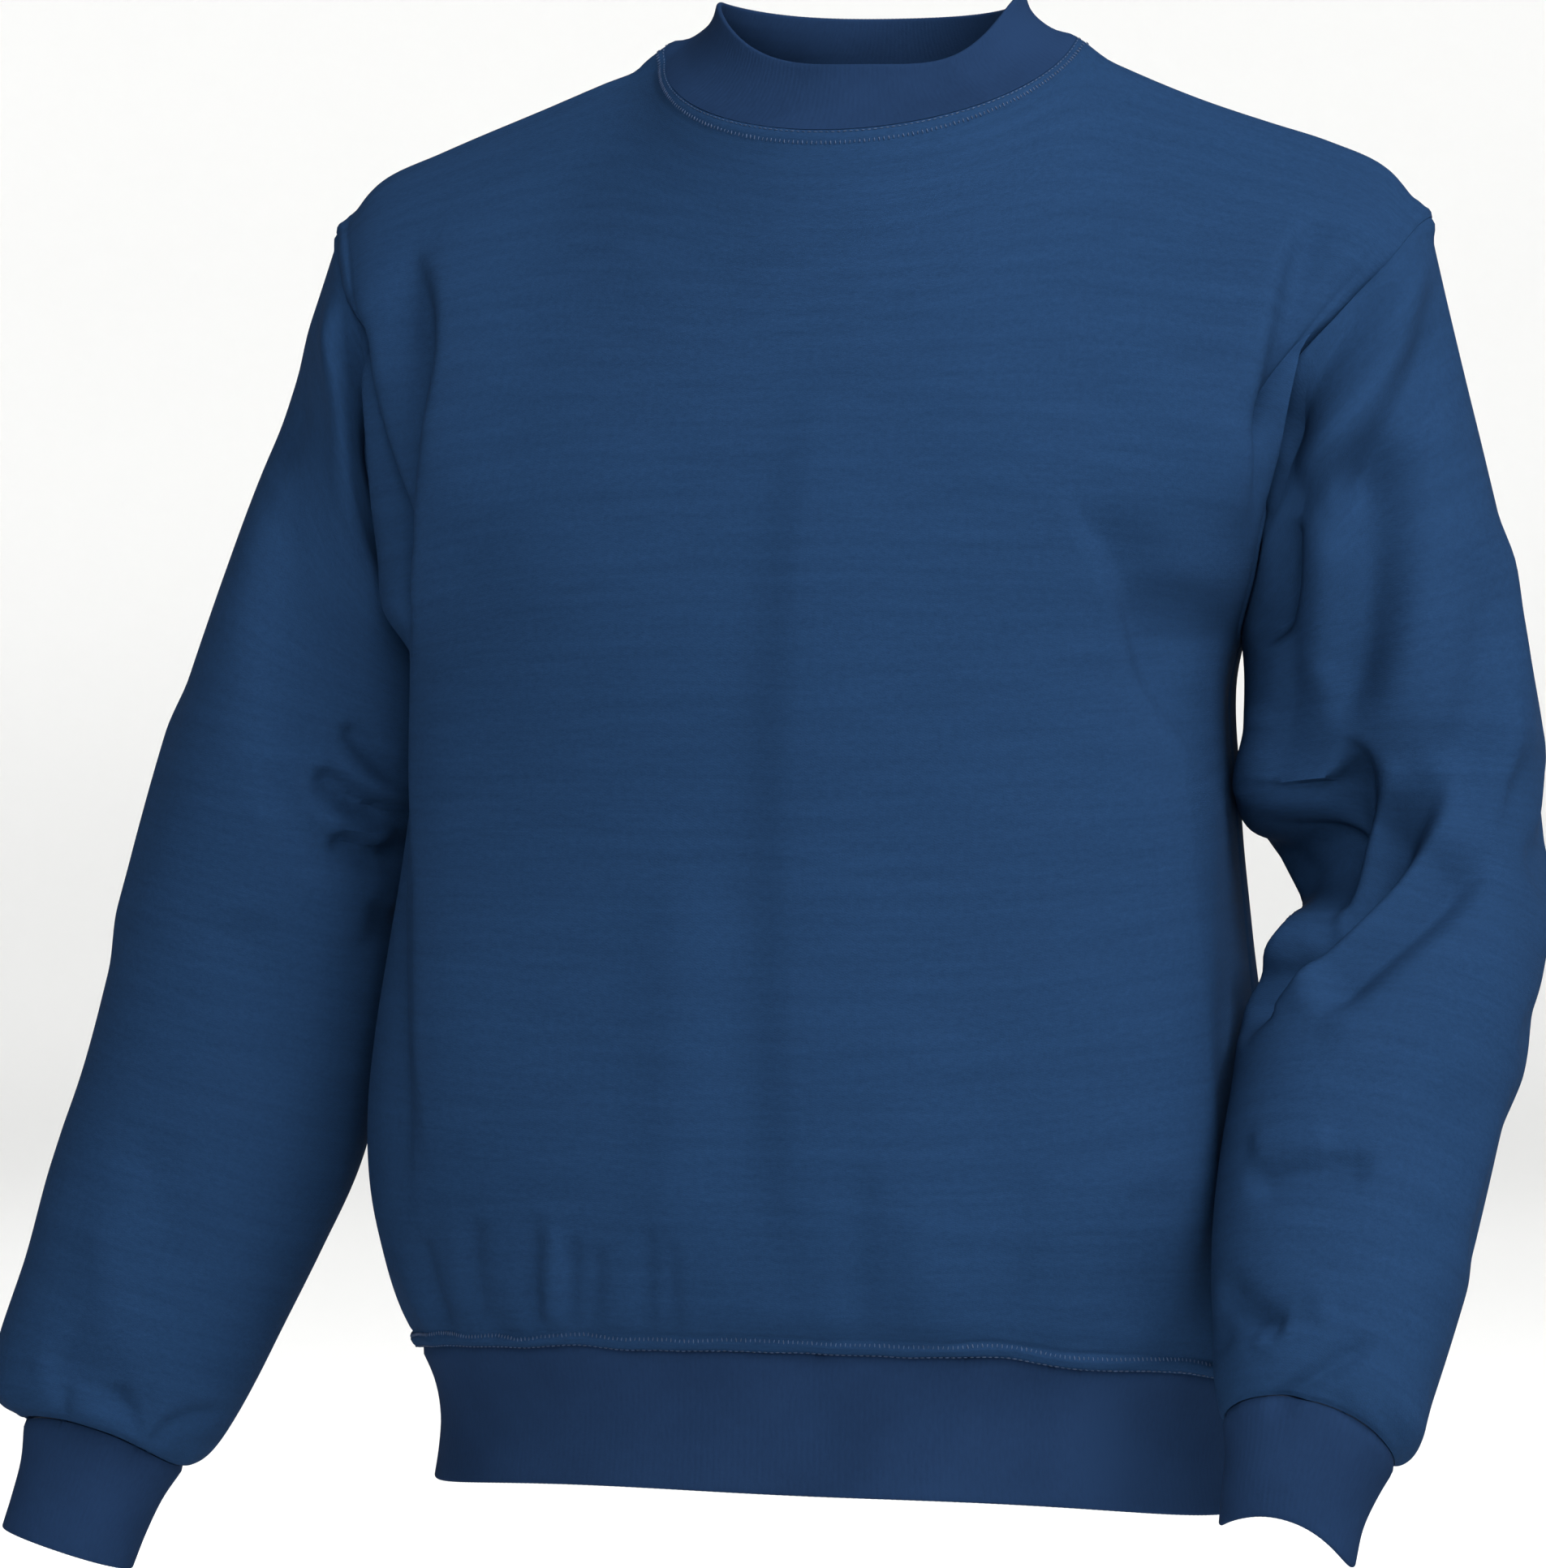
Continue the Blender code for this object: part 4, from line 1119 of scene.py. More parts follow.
def span(grid, closed):
    """Mean running length across the columns and along the rows, for the map of the cloth."""
    wrapped = np.concatenate([grid, grid[:, :1]], axis=1) if closed else grid
    across = np.linalg.norm(np.diff(wrapped, axis=1), axis=-1).mean(axis=0)
    along = np.linalg.norm(np.diff(grid, axis=0), axis=-1).mean(axis=1)
    return np.concatenate([[0.0], np.cumsum(across)]), np.concatenate([[0.0], np.cumsum(along)])


def grid_cells(rows, columns, closed_rows, closed_columns):
    """Points of every cell of a grid, then their rows and columns, which may run past the last."""
    last_row = rows if closed_rows else rows - 1
    last_column = columns if closed_columns else columns - 1
    row, column = np.meshgrid(np.arange(last_row), np.arange(last_column), indexing="ij")
    row, column = row.ravel(), column.ravel()
    row = np.stack([row, row, row + 1, row + 1], axis=1)
    column = np.stack([column, column + 1, column + 1, column], axis=1)
    return (row % rows) * columns + column % columns, row, column


def signed_volume(points, faces):
    corners = points[faces]
    first = np.einsum("ij,ij->i", corners[:, 0], np.cross(corners[:, 1], corners[:, 2]))
    second = np.einsum("ij,ij->i", corners[:, 0], np.cross(corners[:, 2], corners[:, 3]))
    return (first + second).sum()


def cloth_wall(name, outer, inner, closed):
    """A closed thin wall of fleece: outer face, inner face and the cut edges between them."""
    rows, columns = outer.shape[:2]
    points = np.concatenate([outer.reshape(-1, 3), inner.reshape(-1, 3)])
    skin = rows * columns
    across, along = span(outer, closed)
    face, row, column = grid_cells(rows, columns, False, closed)
    uv = np.stack([across[column], along[row]], axis=-1)
    faces = [face, skin + face[:, ::-1]]
    corners = [uv, uv[:, ::-1]]
    wide = np.arange(columns + 1 if closed else columns)
    edges = [(0 * wide, wide), (0 * wide + rows - 1, wide[::-1])]
    if not closed:
        tall = np.arange(rows)
        edges += [(tall, 0 * tall + columns - 1), (tall[::-1], 0 * tall)]
    for edge_row, edge_column in edges:
        at = edge_row * columns + edge_column % columns
        uv = np.stack([across[edge_column], along[edge_row]], axis=-1)
        faces.append(np.stack([at[1:], at[:-1], skin + at[:-1], skin + at[1:]], axis=1))
        corners.append(np.stack([uv[1:], uv[:-1], uv[:-1], uv[1:]], axis=1))
    return mesh_object(name, points, np.concatenate(faces), np.concatenate(corners))


def more_columns(values, count):
    """A closed grid read at so many even columns."""
    columns = values.shape[1]
    padded = np.concatenate([values[:, -2:], values, values[:, :3]], axis=1)
    at = np.arange(count) * columns / count
    return through(padded.transpose(1, 0, 2), np.arange(-2, columns + 3), at).transpose(1, 0, 2)


def rib_tube(name, form, thick):
    """A tube of doubled rib: outer face from its seam, round the folded edge, back up inside."""
    ribs, _, inner_rows, depth = RIBBING[name]
    columns = ribs * COLUMNS_A_RIB
    outer = more_columns(drawn_back(form["grid"], True), columns)
    normals = unit(more_columns(form["normals"], columns))
    far = np.cumsum(np.linalg.norm(np.diff(outer, axis=0), axis=-1), axis=0)
    far = np.concatenate([np.zeros((1, columns)), far])
    tuck = depth * (1.0 - smooth_rise(far / RIB_TUCK_REACH))
    skin = outer - normals * tuck[..., None]
    radius = 0.5 * thick
    down = unit(outer[-1] - outer[-2])
    out = unit(normals[-1] - down * (normals[-1] * down).sum(axis=-1, keepdims=True))
    hem, hem_out = [], []
    for k in range(1, HEM_ROUND + 1):
        angle = math.pi * k / (HEM_ROUND + 1)
        way = out * math.cos(angle) + down * math.sin(angle)
        hem.append(skin[-1] - out * radius + way * radius)
        hem_out.append(way)
    back = np.linspace(len(outer) - 1, 0, inner_rows).round().astype(int)
    inside = outer[back] - normals[back] * (thick + INSIDE_TUCK * tuck[back])[..., None]
    grid = np.concatenate([skin, hem, inside])
    ways = np.concatenate([normals, hem_out, -normals[back]])
    rise = np.ones(len(grid))
    rise[len(outer):] = INSIDE_RELIEF
    rise[[0, -1]] = 0.0
    rows = len(grid)
    faces, row, column = grid_cells(rows, columns, True, True)
    across, along = span(grid, True)
    along = np.append(along, along[-1] + thick)
    corners = np.stack([across[column], along[row]], axis=-1)
    item = mesh_object(CLOTHS[name][0], grid.reshape(-1, 3), faces, corners)
    turn = np.tile(np.arange(columns) / columns, rows)
    add_attribute(item.data, "turn", "FLOAT", turn)
    add_attribute(item.data, "rise", "FLOAT", np.repeat(rise, columns))
    add_attribute(item.data, "way", "FLOAT_VECTOR", ways.reshape(-1, 3))
    return item


def add_attribute(mesh, name, kind, values):
    layer = mesh.attributes.new(name, kind, "POINT")
    key = "vector" if kind == "FLOAT_VECTOR" else "value"
    layer.data.foreach_set(key, np.asarray(values, np.float32).ravel())


# ---------------------------------------------------------------- node trees


def add(tree, kind, inputs=None, **settings):
    """Add a node, set its properties, and give its inputs values or links."""
    item = tree.nodes.new(kind)
    for key, value in settings.items():
        setattr(item, key, value)
    for key, value in (inputs or {}).items():
        socket = item.inputs[key]
        if isinstance(value, bpy.types.NodeSocket):
            tree.links.new(value, socket)
        else:
            socket.default_value = value
    return item


def maths(tree, operation, *values):
    """The result of a math node, on numbers or on other results."""
    return add(tree, "ShaderNodeMath", dict(enumerate(values)), operation=operation).outputs[0]


def attribute(tree, name, kind):
    """A named value that each point of a mesh carries."""
    return add(tree, "GeometryNodeInputNamedAttribute", {"Name": name}, data_type=kind).outputs[0]


def geometry_tree(name, sockets):
    """An empty geometry tree with a geometry and the named inputs: (name, kind, default)."""
    tree = bpy.data.node_groups.new(name, "GeometryNodeTree")
    for way in ("INPUT", "OUTPUT"):
        tree.interface.new_socket("Geometry", in_out=way, socket_type="NodeSocketGeometry")
    for label, kind, default in sockets:
        socket = tree.interface.new_socket(label, in_out="INPUT", socket_type="NodeSocket" + kind)
        if default is not None:
            socket.default_value = default
    return tree


def run_tree(item, tree, values):
    """Run a geometry tree on an object and leave the result as its plain mesh."""
    modifier = item.modifiers.new(tree.name, "NODES")
    modifier.node_group = tree
    for socket in tree.interface.items_tree:
        if socket.item_type == "SOCKET" and socket.in_out == "INPUT" and socket.name in values:
            modifier[socket.identifier] = values[socket.name]
    graph = bpy.context.evaluated_depsgraph_get()
    mesh = bpy.data.meshes.new_from_object(item.evaluated_get(graph), depsgraph=graph)
    item.modifiers.remove(modifier)
    old = item.data
    item.data = mesh
    bpy.data.meshes.remove(old)
    mesh.name = item.name


def rib_tree():
    """Sinks the valleys between ribs: a cosine round the tube, along each point's own way."""
    name = "rib_relief"
    if name in bpy.data.node_groups:
        return bpy.data.node_groups[name]
    tree = geometry_tree(name, [("Ribs", "Int", 100), ("Relief", "Float", 0.0003),
                                ("Cloth", "Material", None)])
    given = add(tree, "NodeGroupInput").outputs
    turn = attribute(tree, "turn", "FLOAT")
    rise = attribute(tree, "rise", "FLOAT")
    way = attribute(tree, "way", "FLOAT_VECTOR")
    phase = maths(tree, "MULTIPLY", maths(tree, "MULTIPLY", turn, given["Ribs"]), math.tau)
    sink = maths(tree, "MULTIPLY_ADD", maths(tree, "COSINE", phase), 0.5, -0.5)
    share = maths(tree, "MULTIPLY", maths(tree, "MULTIPLY", sink, given["Relief"]), rise)
    offset = add(tree, "ShaderNodeVectorMath", {0: way, "Scale": share}, operation="SCALE")
    moved = add(tree, "GeometryNodeSetPosition",
                {"Geometry": given["Geometry"], "Offset": offset.outputs[0]})
    whole = add(tree, "GeometryNodeRealizeInstances", {"Geometry": moved.outputs[0]})
    dyed = add(tree, "GeometryNodeSetMaterial",
               {"Geometry": whole.outputs[0], "Material": given["Cloth"]})
    add(tree, "NodeGroupOutput", {"Geometry": dyed.outputs[0]})
    return tree


def random_value(tree, low, high, seed):
    return add(tree, "FunctionNodeRandomValue", {"Min": low, "Max": high, "Seed": seed},
               data_type="FLOAT").outputs["Value"]


def stitch_tree():
    """Lays a small bead of thread at even steps along a line, flat on the cloth."""
    name = "stitch_row"
    if name in bpy.data.node_groups:
        return bpy.data.node_groups[name]
    tree = geometry_tree(name, [("Pitch", "Float", 0.003), ("Length", "Float", 0.002),
                                ("Thread", "Float", 0.0005), ("Across", "Float", 0.0),
                                ("Seed", "Int", 0), ("Thread finish", "Material", None)])
    given = add(tree, "NodeGroupInput").outputs
    line = add(tree, "GeometryNodeMeshToCurve", {"Mesh": given["Geometry"]})
    spots = add(tree, "GeometryNodeResampleCurve",
                {"Curve": line.outputs[0], "Length": given["Pitch"]}, mode="LENGTH")
    up = attribute(tree, "up", "FLOAT_VECTOR")
    ahead = add(tree, "GeometryNodeInputTangent")
    upright = add(tree, "FunctionNodeAlignRotationToVector", {"Vector": up}, axis="Z")
    facing = add(tree, "FunctionNodeAlignRotationToVector",
                 {"Rotation": upright.outputs[0], "Vector": ahead.outputs[0]},
                 axis="X", pivot_axis="Z")
    sway = random_value(tree, -STITCH_SWAY, STITCH_SWAY, given["Seed"])
    swing = maths(tree, "MULTIPLY_ADD", given["Across"], math.pi / 2.0, sway)
    spin = add(tree, "ShaderNodeCombineXYZ", {"Z": swing})
    turned = add(tree, "FunctionNodeRotateRotation",
                 {"Rotation": facing.outputs[0], "Rotate By": spin.outputs[0]},
                 rotation_space="LOCAL")
    bead = add(tree, "GeometryNodeMeshUVSphere", {"Segments": 6, "Rings": 5, "Radius": 0.5})
    size = add(tree, "ShaderNodeCombineXYZ",
               {"X": given["Length"], "Y": given["Thread"], "Z": given["Thread"]})
    even = random_value(tree, *STITCH_SIZES, given["Seed"])
    scale = add(tree, "ShaderNodeVectorMath", {0: size.outputs[0], "Scale": even},
                operation="SCALE")
    laid = add(tree, "GeometryNodeInstanceOnPoints",
               {"Points": spots.outputs[0], "Instance": bead.outputs["Mesh"],
                "Rotation": turned.outputs[0], "Scale": scale.outputs[0]})
    whole = add(tree, "GeometryNodeRealizeInstances", {"Geometry": laid.outputs[0]})
    smooth = add(tree, "GeometryNodeSetShadeSmooth", {"Geometry": whole.outputs[0]})
    dyed = add(tree, "GeometryNodeSetMaterial",
               {"Geometry": smooth.outputs[0], "Material": given["Thread finish"]})
    add(tree, "NodeGroupOutput", {"Geometry": dyed.outputs[0]})
    return tree


# ---------------------------------------------------------------- materials

KNIT_COURSE = 0.8          # height of one knit stitch, as a share of the wale
KNIT_SLANT = 0.6           # how far its two legs lean towards each other
KNIT_LEGS = 0.1            # height of the legs and of the streaks, beside that of the nap
KNIT_STREAKS = 0.4
KNIT_BUMP = {"Strength": 0.35, "Distance": 0.0005}
# Shades of each colour: (place on the unevenness, how much darker or lighter)
FLEECE_SHADES = [(0.0, 0.76), (1.0, 1.24)]
RIB_SHADES = [(0.55, 0.86), (1.0, 1.14)]
THREAD_SHADES = [(0.35, 0.75), (0.65, 1.2)]
FLOOR_SHADES = [(0.0, 0.985), (1.0, 1.0)]


def new_material(name):
    material = bpy.data.materials.new(name)
    material.use_nodes = True
    tree = material.node_tree
    tree.nodes.clear()
    shader = add(tree, "ShaderNodeBsdfPrincipled")
    add(tree, "ShaderNodeOutputMaterial", {"Surface": shader.outputs[0]})
    return material, tree, shader


def dye(tree, shader, factor, colour, stops):
    """Colour a surface with shades of one colour."""
    ramp = add(tree, "ShaderNodeValToRGB", {0: factor})
    for stop, (place, share) in zip(ramp.color_ramp.elements, stops):
        stop.position = place
        stop.color = (*[min(value * share, 1.0) for value in colour], 1.0)
    tree.links.new(ramp.outputs[0], shader.inputs["Base Color"])


def knit_surface(tree, shader, height):
    """The dry face of a knit: its relief, next to no gloss, and a trace of soft nap."""
    bump = add(tree, "ShaderNodeBump", {"Height": height, **KNIT_BUMP})
    tree.links.new(bump.outputs[0], shader.inputs["Normal"])
    shader.inputs["Roughness"].default_value = 0.92
    shader.inputs["Specular IOR Level"].default_value = 0.01
    shader.inputs["Sheen Weight"].default_value = 0.004
    shader.inputs["Sheen Roughness"].default_value = 0.45
    shader.inputs["Sheen Tint"].default_value = (*linear("#7FA0CC"), 1.0)


def noise_of(tree, vector, size, detail, roughness=0.55):
    """Noise whose lumps are so many metres across, on each axis."""
    scaled = add(tree, "ShaderNodeMapping", {"Vector": vector, "Scale": [1.0 / s for s in size]})
    return add(tree, "ShaderNodeTexNoise",
               {"Vector": scaled.outputs[0], "Scale": 1.0, "Detail": detail,
                "Roughness": roughness}).outputs[0]


def cloth_map(tree):
    """The place on the cloth as it runs, in metres."""
    return add(tree, "ShaderNodeUVMap", uv_map="cloth").outputs[0]


def object_place(tree):
    """The place in the object, in metres."""
    return add(tree, "ShaderNodeTexCoord").outputs["Object"]


def brushed_fleece(settings):
    """Cotton fleece jersey: a dry, matt knitted face whose nap scatters light softly.

    The knit's columns are 1.4 mm apart, a little coarser than the real 1.1 mm, so that they
    show from close by; its rows make faint streaks across the cloth.
    """
    material, tree, shader = new_material("brushed_cotton_fleece")
    map_of = cloth_map(tree)
    mottled = noise_of(tree, map_of, (0.060, 0.006, 1.0), 2.0)
    streaks = noise_of(tree, map_of, (0.0035, 0.0022, 1.0), 3.0)
    specks = noise_of(tree, map_of, (0.0012, 0.0010, 1.0), 2.0, 0.75)
    tone = maths(tree, "MULTIPLY_ADD", mottled, 0.8, streaks)
    tone = maths(tree, "MULTIPLY_ADD", specks, 1.0, tone)
    level = add(tree, "ShaderNodeMapRange", {"Value": tone, "From Min": 0.8, "From Max": 2.0})
    dye(tree, shader, level.outputs[0], settings.colour, FLEECE_SHADES)
    # one knit stitch: two legs that lean towards each other, a wale wide and one course high
    parts = add(tree, "ShaderNodeSeparateXYZ", {0: map_of}).outputs
    wales = maths(tree, "DIVIDE", parts[0], settings.wale)
    lean = maths(tree, "PINGPONG", wales, 1.0)
    courses = maths(tree, "DIVIDE", parts[1], KNIT_COURSE * settings.wale)
    rows = maths(tree, "MULTIPLY_ADD", lean, KNIT_SLANT, courses)
    legs = maths(tree, "SINE", maths(tree, "MULTIPLY", rows, math.tau))
    nap = noise_of(tree, map_of, (0.0009, 0.0009, 1.0), 3.0, 0.7)
    ground = maths(tree, "MULTIPLY_ADD", legs, KNIT_LEGS, nap)
    knit_surface(tree, shader, maths(tree, "MULTIPLY_ADD", streaks, KNIT_STREAKS, ground))
    return material


def rib_knit(settings):
    """Doubled cotton rib: fine upright ribs, a tighter and slightly darker knit than the body."""
    material, tree, shader = new_material("cotton_rib_knit")
    map_of = cloth_map(tree)
    cloudy = noise_of(tree, object_place(tree), (0.06, 0.06, 0.05), 2.0)
    yarn = noise_of(tree, map_of, (0.0014, 0.0045, 1.0), 3.0, 0.6)
    tone = maths(tree, "MULTIPLY_ADD", yarn, 0.7, cloudy)
    dye(tree, shader, tone, settings.colour, RIB_SHADES)
    knit_surface(tree, shader, noise_of(tree, map_of, (0.0009, 0.0013, 1.0), 3.0, 0.7))
    return material


def spun_thread(settings):
    """Spun polyester sewing thread: smoother than the cloth, so each stitch catches a glint; its
    lighter colour is painted sheen.
    """
    material, tree, shader = new_material("spun_polyester_thread")
    ply = noise_of(tree, object_place(tree), (0.002, 0.002, 0.002), 1.0)
    # painted sheen: the thread's colour, lighter than the cloth's, stands in for the gloss of the
    # thread
    dye(tree, shader, ply, settings.colour, THREAD_SHADES)
    shader.inputs["Roughness"].default_value = 0.55
    return material


def painted_sweep(settings):
    """Matt emulsion on a studio floor: even and pale, with a trace of roller texture."""
    material, tree, shader = new_material("matt_floor_paint")
    roller = noise_of(tree, object_place(tree), (0.8, 0.8, 0.8), 2.0)
    dye(tree, shader, roller, settings.floor_colour, FLOOR_SHADES)
    shader.inputs["Roughness"].default_value = 0.95
    return material


def finish_named(name, make, settings):
    """The named material, made on its first use."""
    return bpy.data.materials[name] if name in bpy.data.materials else make(settings)


# ---------------------------------------------------------------- pieces


def dress(item, node):
    """Put a finished piece in the place of its node."""
    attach(item, "root")
    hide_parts(node)


def make_fleece(context, node):
    settings = context.scene.sweatshirt_fleece
    form = garment(settings.fold_depth)[node]
    outer = drawn_back(form["outer"], form["closed"])
    facing = np.maximum((form["normals"] * form["own"]).sum(axis=-1), LEAST_FACING)
    deep = settings.thickness / MM / facing + form["dip"]
    inner = drawn_back(form["grid"], form["closed"]) - form["normals"] * deep[..., None]
    item = cloth_wall(CLOTHS[node][0], outer, inner, form["closed"])
    item.data.materials.append(finish_named("brushed_cotton_fleece", brushed_fleece, settings))
    dress(item, node)


def make_rib(context, node):
    settings = context.scene.sweatshirt_rib
    forms = garment(context.scene.sweatshirt_fleece.fold_depth)
    item = rib_tube(node, forms[node], settings.thickness / MM)
    cloth = finish_named("cotton_rib_knit", rib_knit, settings)
    item.data.materials.append(cloth)
    run_tree(item, rib_tree(), {"Ribs": RIBBING[node][0], "Relief": settings.relief,
                                "Cloth": cloth})
    for name in ("turn", "rise", "way"):
        item.data.attributes.remove(item.data.attributes[name])
    dress(item, node)


class SWEATSHIRT_OT_body(bpy.types.Operator):
    """Make the front and the back"""
    bl_idname = "sweatshirt.body"
    bl_label = "Front and back"

    def execute(self, context):
        for node in BODY:
            make_fleece(context, node)
        return {"FINISHED"}


class SWEATSHIRT_OT_sleeves(bpy.types.Operator):
    """Make both sleeves"""
    bl_idname = "sweatshirt.sleeves"
    bl_label = "Sleeves"

    def execute(self, context):
        for node in SLEEVES:
            make_fleece(context, node)
        return {"FINISHED"}


class SWEATSHIRT_OT_ribs(bpy.types.Operator):
    """Make the ribbed collar, cuffs and waistband"""
    bl_idname = "sweatshirt.ribs"
    bl_label = "Collar, cuffs and waistband"

    def execute(self, context):
        for node in RIBBING:
            make_rib(context, node)
        return {"FINISHED"}


def seam_line(outer, normals, seam, distance):
    """A line on a panel at a distance from its waist or neck seam, with the way up off it."""
    if seam == "waist":
        grid, ways = outer, normals
    else:
        on_neck = np.abs(ACROSS) <= NECK_STEPS
        grid, ways = outer[::-1][:, on_neck], normals[::-1][:, on_neck]
    line = []
    for column in range(grid.shape[1]):
        knots = arc_knots(grid[:, column])
        line.append([np.interp(distance, knots, values[:, column, k])
                     for values in (grid, ways) for k in range(3)])
    return np.array(line)[:, :3], np.array(line)[:, 3:]


def overlock(name, form, finish):
    """The overlocked edge inside a seam: a thin cord of thread that closes it from within."""
    line, ways = form["grid"][0], form["normals"][0]
    down = unit(form["grid"][1] - line)
    angle = np.linspace(0.0, math.tau, OVERLOCK_SIDES, endpoint=False)[:, None, None]
    grid = line - ways * OVERLOCK_DEPTH + OVERLOCK_RADIUS * (ways * np.cos(angle)
                                                            + down * np.sin(angle))
    faces, row, column = grid_cells(OVERLOCK_SIDES, len(line), True, True)
    corners = np.stack([column, row], axis=-1).astype(float)
    item = mesh_object(name, grid.reshape(-1, 3), faces, corners)
    item.data.materials.append(finish)
    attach(item, "root")


class SWEATSHIRT_OT_stitches(bpy.types.Operator):
    """Sew the rows of stitches along the collar and the waistband, and overlock the cuffs"""
    bl_idname = "sweatshirt.stitches"
    bl_label = "Stitches"

    def execute(self, context):
        settings = context.scene.sweatshirt_stitches
        forms = garment(context.scene.sweatshirt_fleece.fold_depth)
        thread = finish_named("spun_polyester_thread", spun_thread, settings)
        for k, (row, node) in enumerate(itertools.product(STITCHES, BODY)):
            seam, distance, share, across = row
            outer = forms[node]["outer"]
            points, ups = seam_line(outer, grid_normals(outer, False), seam, distance)
            level = "upper" if across else "lower"
            name = "%s_%s_%s_stitches" % (node.split("_")[0], seam, level)
            mesh = bpy.data.meshes.new(name)
            points = (points + ups * STITCH_LIFT) * MM
            mesh.from_pydata(points.tolist(), [(i, i + 1) for i in range(len(points) - 1)], [])
            add_attribute(mesh, "up", "FLOAT_VECTOR", ups)
            item = linked(name, mesh)
            run_tree(item, stitch_tree(),
                     {"Pitch": settings.pitch * share, "Length": settings.length,
                      "Thread": settings.thread, "Across": float(across),
                      "Seed": settings.seed + k, "Thread finish": thread})
            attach(item, "root")
        for side in ("right", "left"):
            overlock(side + "_cuff_overlock", forms["cuff_" + side], thread)
        return {"FINISHED"}


# ---------------------------------------------------------------- studio

# Distance from the middle and height over the floor, metres
SWEEP_PROFILE = [(0.0, 0.0), (6.6, 0.0), (8.2, 0.2), (9.3, 0.8), (9.9, 1.8), (10.2, 3.0),
                 (10.3, 4.2)]
SWEEP_ROWS = 60
SWEEP_SIDES = 96
# Azimuth and elevation as for the camera, distance, width, height in metres, name of the power
LIGHTS = {
    "key_light": (60.0, 47.0, 3.4, 1.4, 1.6, "key_power"),
    "front_light": (14.0, 22.0, 4.2, 2.2, 2.4, "front_power"),
    "back_light": (195.0, 8.0, 4.2, 2.2, 2.4, "back_power"),
}
SWEEP_LIGHT = (44.0, 27.0, 3.0, 1.6, 0.5, "sweep_power")
SWEEP_LIGHTS = 6
SWEEP_FALL = 0.1           # how far a sweep light looks down as it looks outwards
AIR_STRENGTH = 0.32


def direction(azimuth, elevation):
    """The way from the garment to somebody who looks at it from these angles."""
    a, e = math.radians(azimuth), math.radians(elevation)
    return Vector((math.sin(a) * math.cos(e), -math.cos(a) * math.cos(e), math.sin(e)))


def aimed_light(settings, name, row, turned=0.0, away=False):
    """A large soft light that faces the garment, or the sweep."""
    azimuth, elevation, distance, wide, tall, power = row
    lamp = bpy.data.lights.new(name, "AREA")
    lamp.shape = "RECTANGLE"
    lamp.size = wide
    lamp.size_y = tall
    lamp.energy = getattr(settings, power)
    back = direction(azimuth + turned, elevation)
    item = linked(name, lamp)
    item.location = Vector(CAMERA_AIM) + back * distance
    facing = Vector((-back.x, -back.y, SWEEP_FALL)) if away else back
    item.rotation_euler = facing.to_track_quat("Z", "Y").to_euler()


def sweep_mesh(level):
    """A round floor at this height that rises at its rim, as triangles and quads."""
    angle = np.linspace(0.0, math.tau, SWEEP_SIDES, endpoint=False)
    points = [(0.0, 0.0, level)]
    for radius, height in rounded(SWEEP_PROFILE, SWEEP_ROWS)[1:]:
        points += [(radius * math.cos(a), radius * math.sin(a), level + height) for a in angle]
    faces = [(0, 1 + k, 1 + (k + 1) % SWEEP_SIDES) for k in range(SWEEP_SIDES)]
    for first in range(1, len(points) - SWEEP_SIDES, SWEEP_SIDES):
        for k in range(SWEEP_SIDES):
            after = (k + 1) % SWEEP_SIDES
            faces.append((first + k, first + SWEEP_SIDES + k,
                          first + SWEEP_SIDES + after, first + after))
    mesh = bpy.data.meshes.new("studio_floor")
    mesh.from_pydata(points, [], faces)
    mesh.shade_smooth()
    return mesh


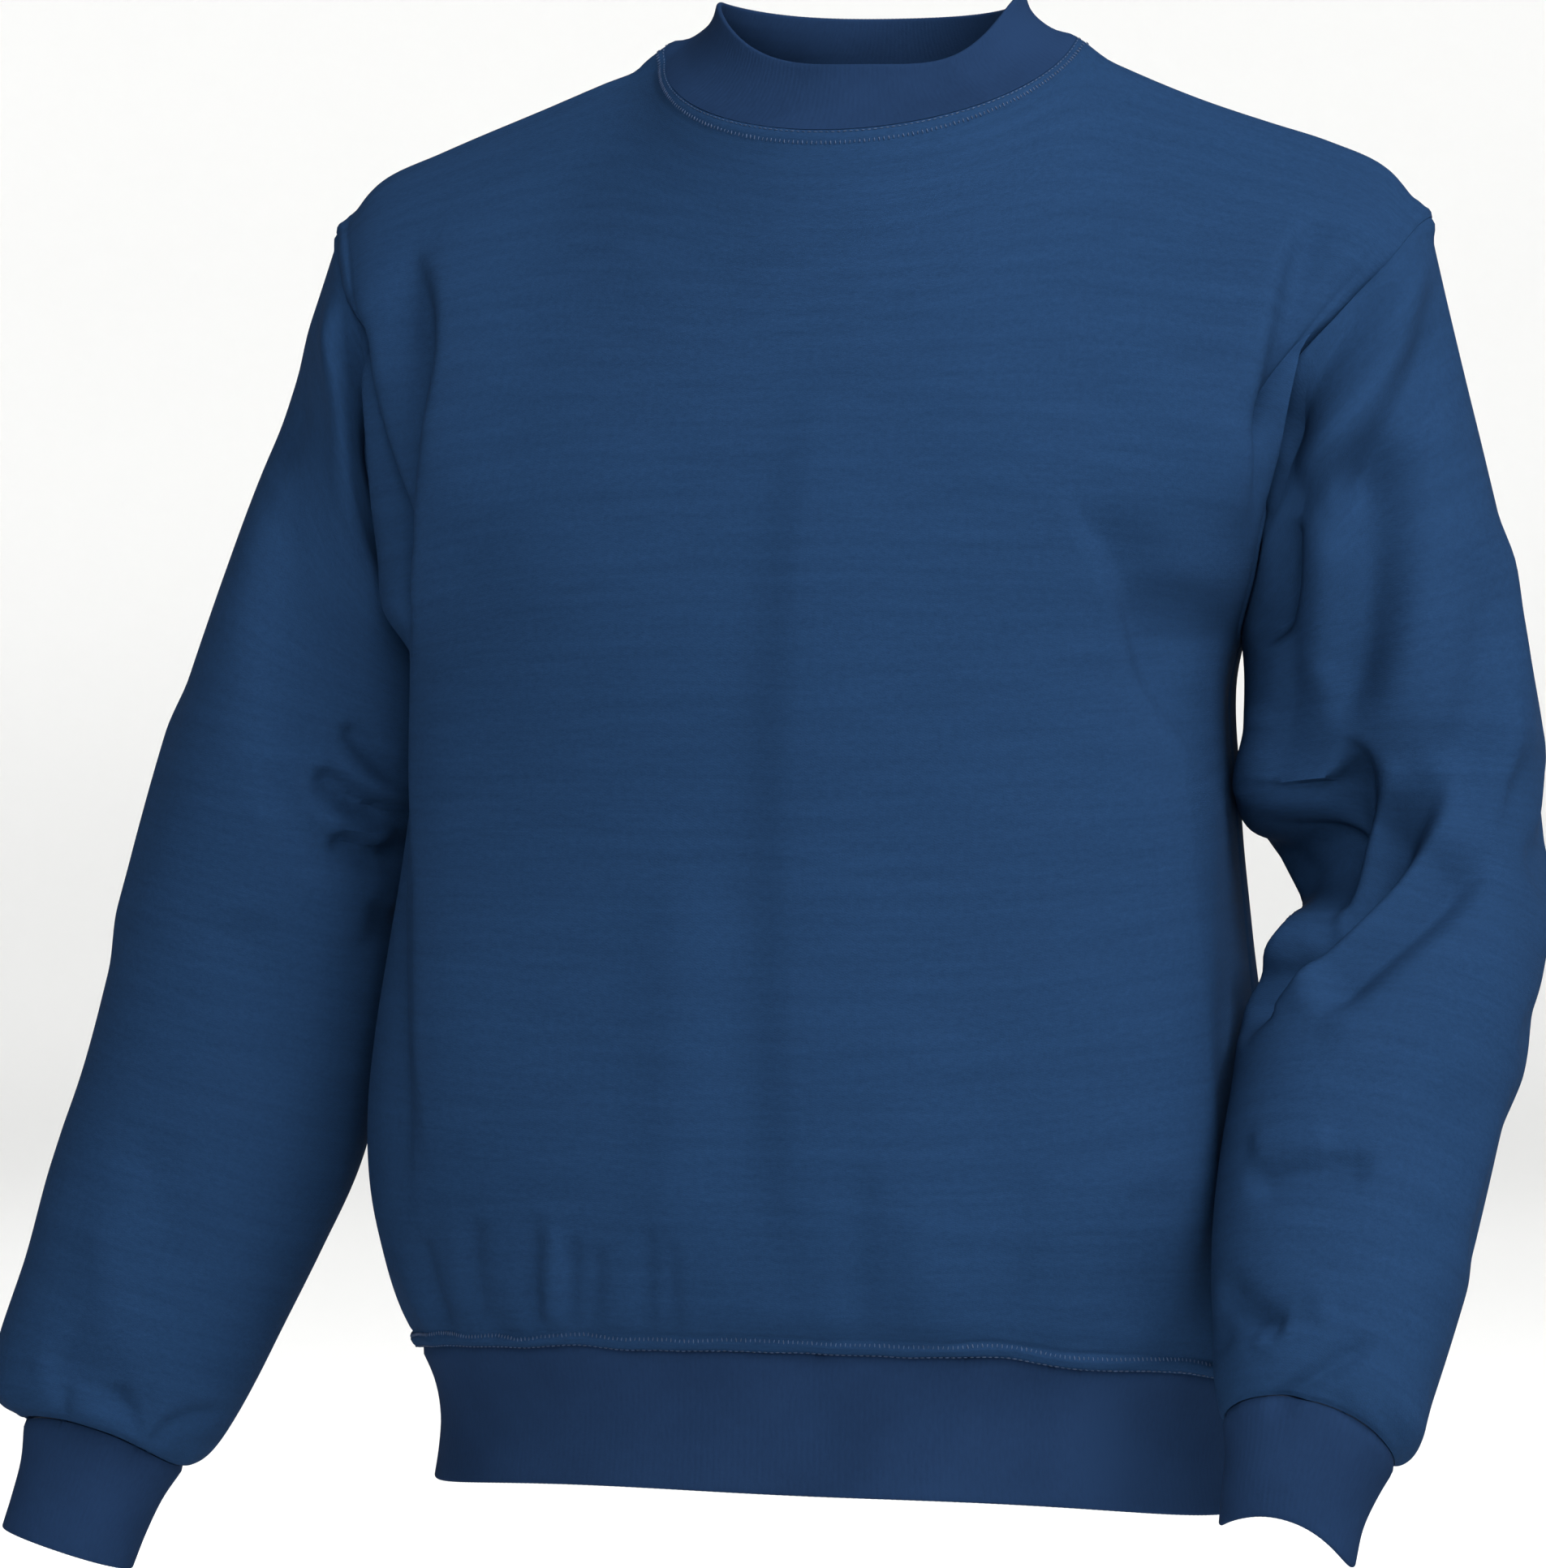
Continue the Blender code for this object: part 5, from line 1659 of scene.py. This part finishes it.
class SWEATSHIRT_OT_studio(bpy.types.Operator):
    """Set up the floor, the lights and the camera"""
    bl_idname = "sweatshirt.studio"
    bl_label = "Floor, lights and camera"

    def execute(self, context):
        settings = context.scene.sweatshirt_studio
        scene = context.scene
        floor = linked("studio_floor", sweep_mesh(settings.floor_level))
        floor.data.materials.append(painted_sweep(settings))

        for name, row in LIGHTS.items():
            aimed_light(settings, name, row)
        for k in range(SWEEP_LIGHTS):
            aimed_light(settings, "sweep_light_%d" % (k + 1), SWEEP_LIGHT,
                        turned=360.0 * k / SWEEP_LIGHTS, away=True)
        scene.world = bpy.data.worlds.new("studio_air")
        scene.world.use_nodes = True
        air = scene.world.node_tree.nodes["Background"]
        air.inputs["Color"].default_value = (1.0, 1.0, 1.0, 1.0)
        air.inputs["Strength"].default_value = AIR_STRENGTH
        scene.view_settings.view_transform = "Standard"

        lens = bpy.data.cameras.new("camera")
        lens.lens = CAMERA_LENS
        lens.sensor_width = CAMERA_SENSOR
        back = direction(CAMERA_AZIMUTH, CAMERA_ELEVATION)
        scene.camera = linked("camera", lens)
        scene.camera.location = Vector(CAMERA_AIM) + back * CAMERA_DISTANCE
        scene.camera.rotation_euler = (-back).to_track_quat("-Z", "Y").to_euler()
        return {"FINISHED"}


class SWEATSHIRT_PT_panel(bpy.types.Panel):
    bl_idname = "SWEATSHIRT_PT_panel"
    bl_label = "Sweatshirt"
    bl_space_type = "VIEW_3D"
    bl_region_type = "UI"
    bl_category = "Sweatshirt"

    def draw(self, context):
        for title, key, operator in PANEL_ROWS:
            box = self.layout.box()
            box.label(text=title)
            settings = getattr(context.scene, key)
            for name in settings.__annotations__:
                box.prop(settings, name)
            for name in operator:
                box.operator(name)


PANEL_ROWS = [
    ("Fleece", "sweatshirt_fleece", ("sweatshirt.body", "sweatshirt.sleeves")),
    ("Ribs", "sweatshirt_rib", ("sweatshirt.ribs",)),
    ("Stitches", "sweatshirt_stitches", ("sweatshirt.stitches",)),
    ("Studio", "sweatshirt_studio", ("sweatshirt.studio",)),
]
SETTINGS = {
    "sweatshirt_fleece": FleeceSettings,
    "sweatshirt_rib": RibSettings,
    "sweatshirt_stitches": StitchSettings,
    "sweatshirt_studio": StudioSettings,
}
CLASSES = [*SETTINGS.values(), SWEATSHIRT_OT_body, SWEATSHIRT_OT_sleeves, SWEATSHIRT_OT_ribs,
           SWEATSHIRT_OT_stitches, SWEATSHIRT_OT_studio, SWEATSHIRT_PT_panel]


def register():
    for item in CLASSES:
        bpy.utils.register_class(item)
    for key, group in SETTINGS.items():
        setattr(bpy.types.Scene, key, PointerProperty(type=group))


def unregister():
    for key in SETTINGS:
        delattr(bpy.types.Scene, key)
    for item in reversed(CLASSES):
        bpy.utils.unregister_class(item)


def main():
    register()
    bpy.ops.sweatshirt.body()
    bpy.ops.sweatshirt.sleeves()
    bpy.ops.sweatshirt.ribs()
    bpy.ops.sweatshirt.stitches()
    bpy.ops.sweatshirt.studio()


if __name__ == "__main__":
    main()
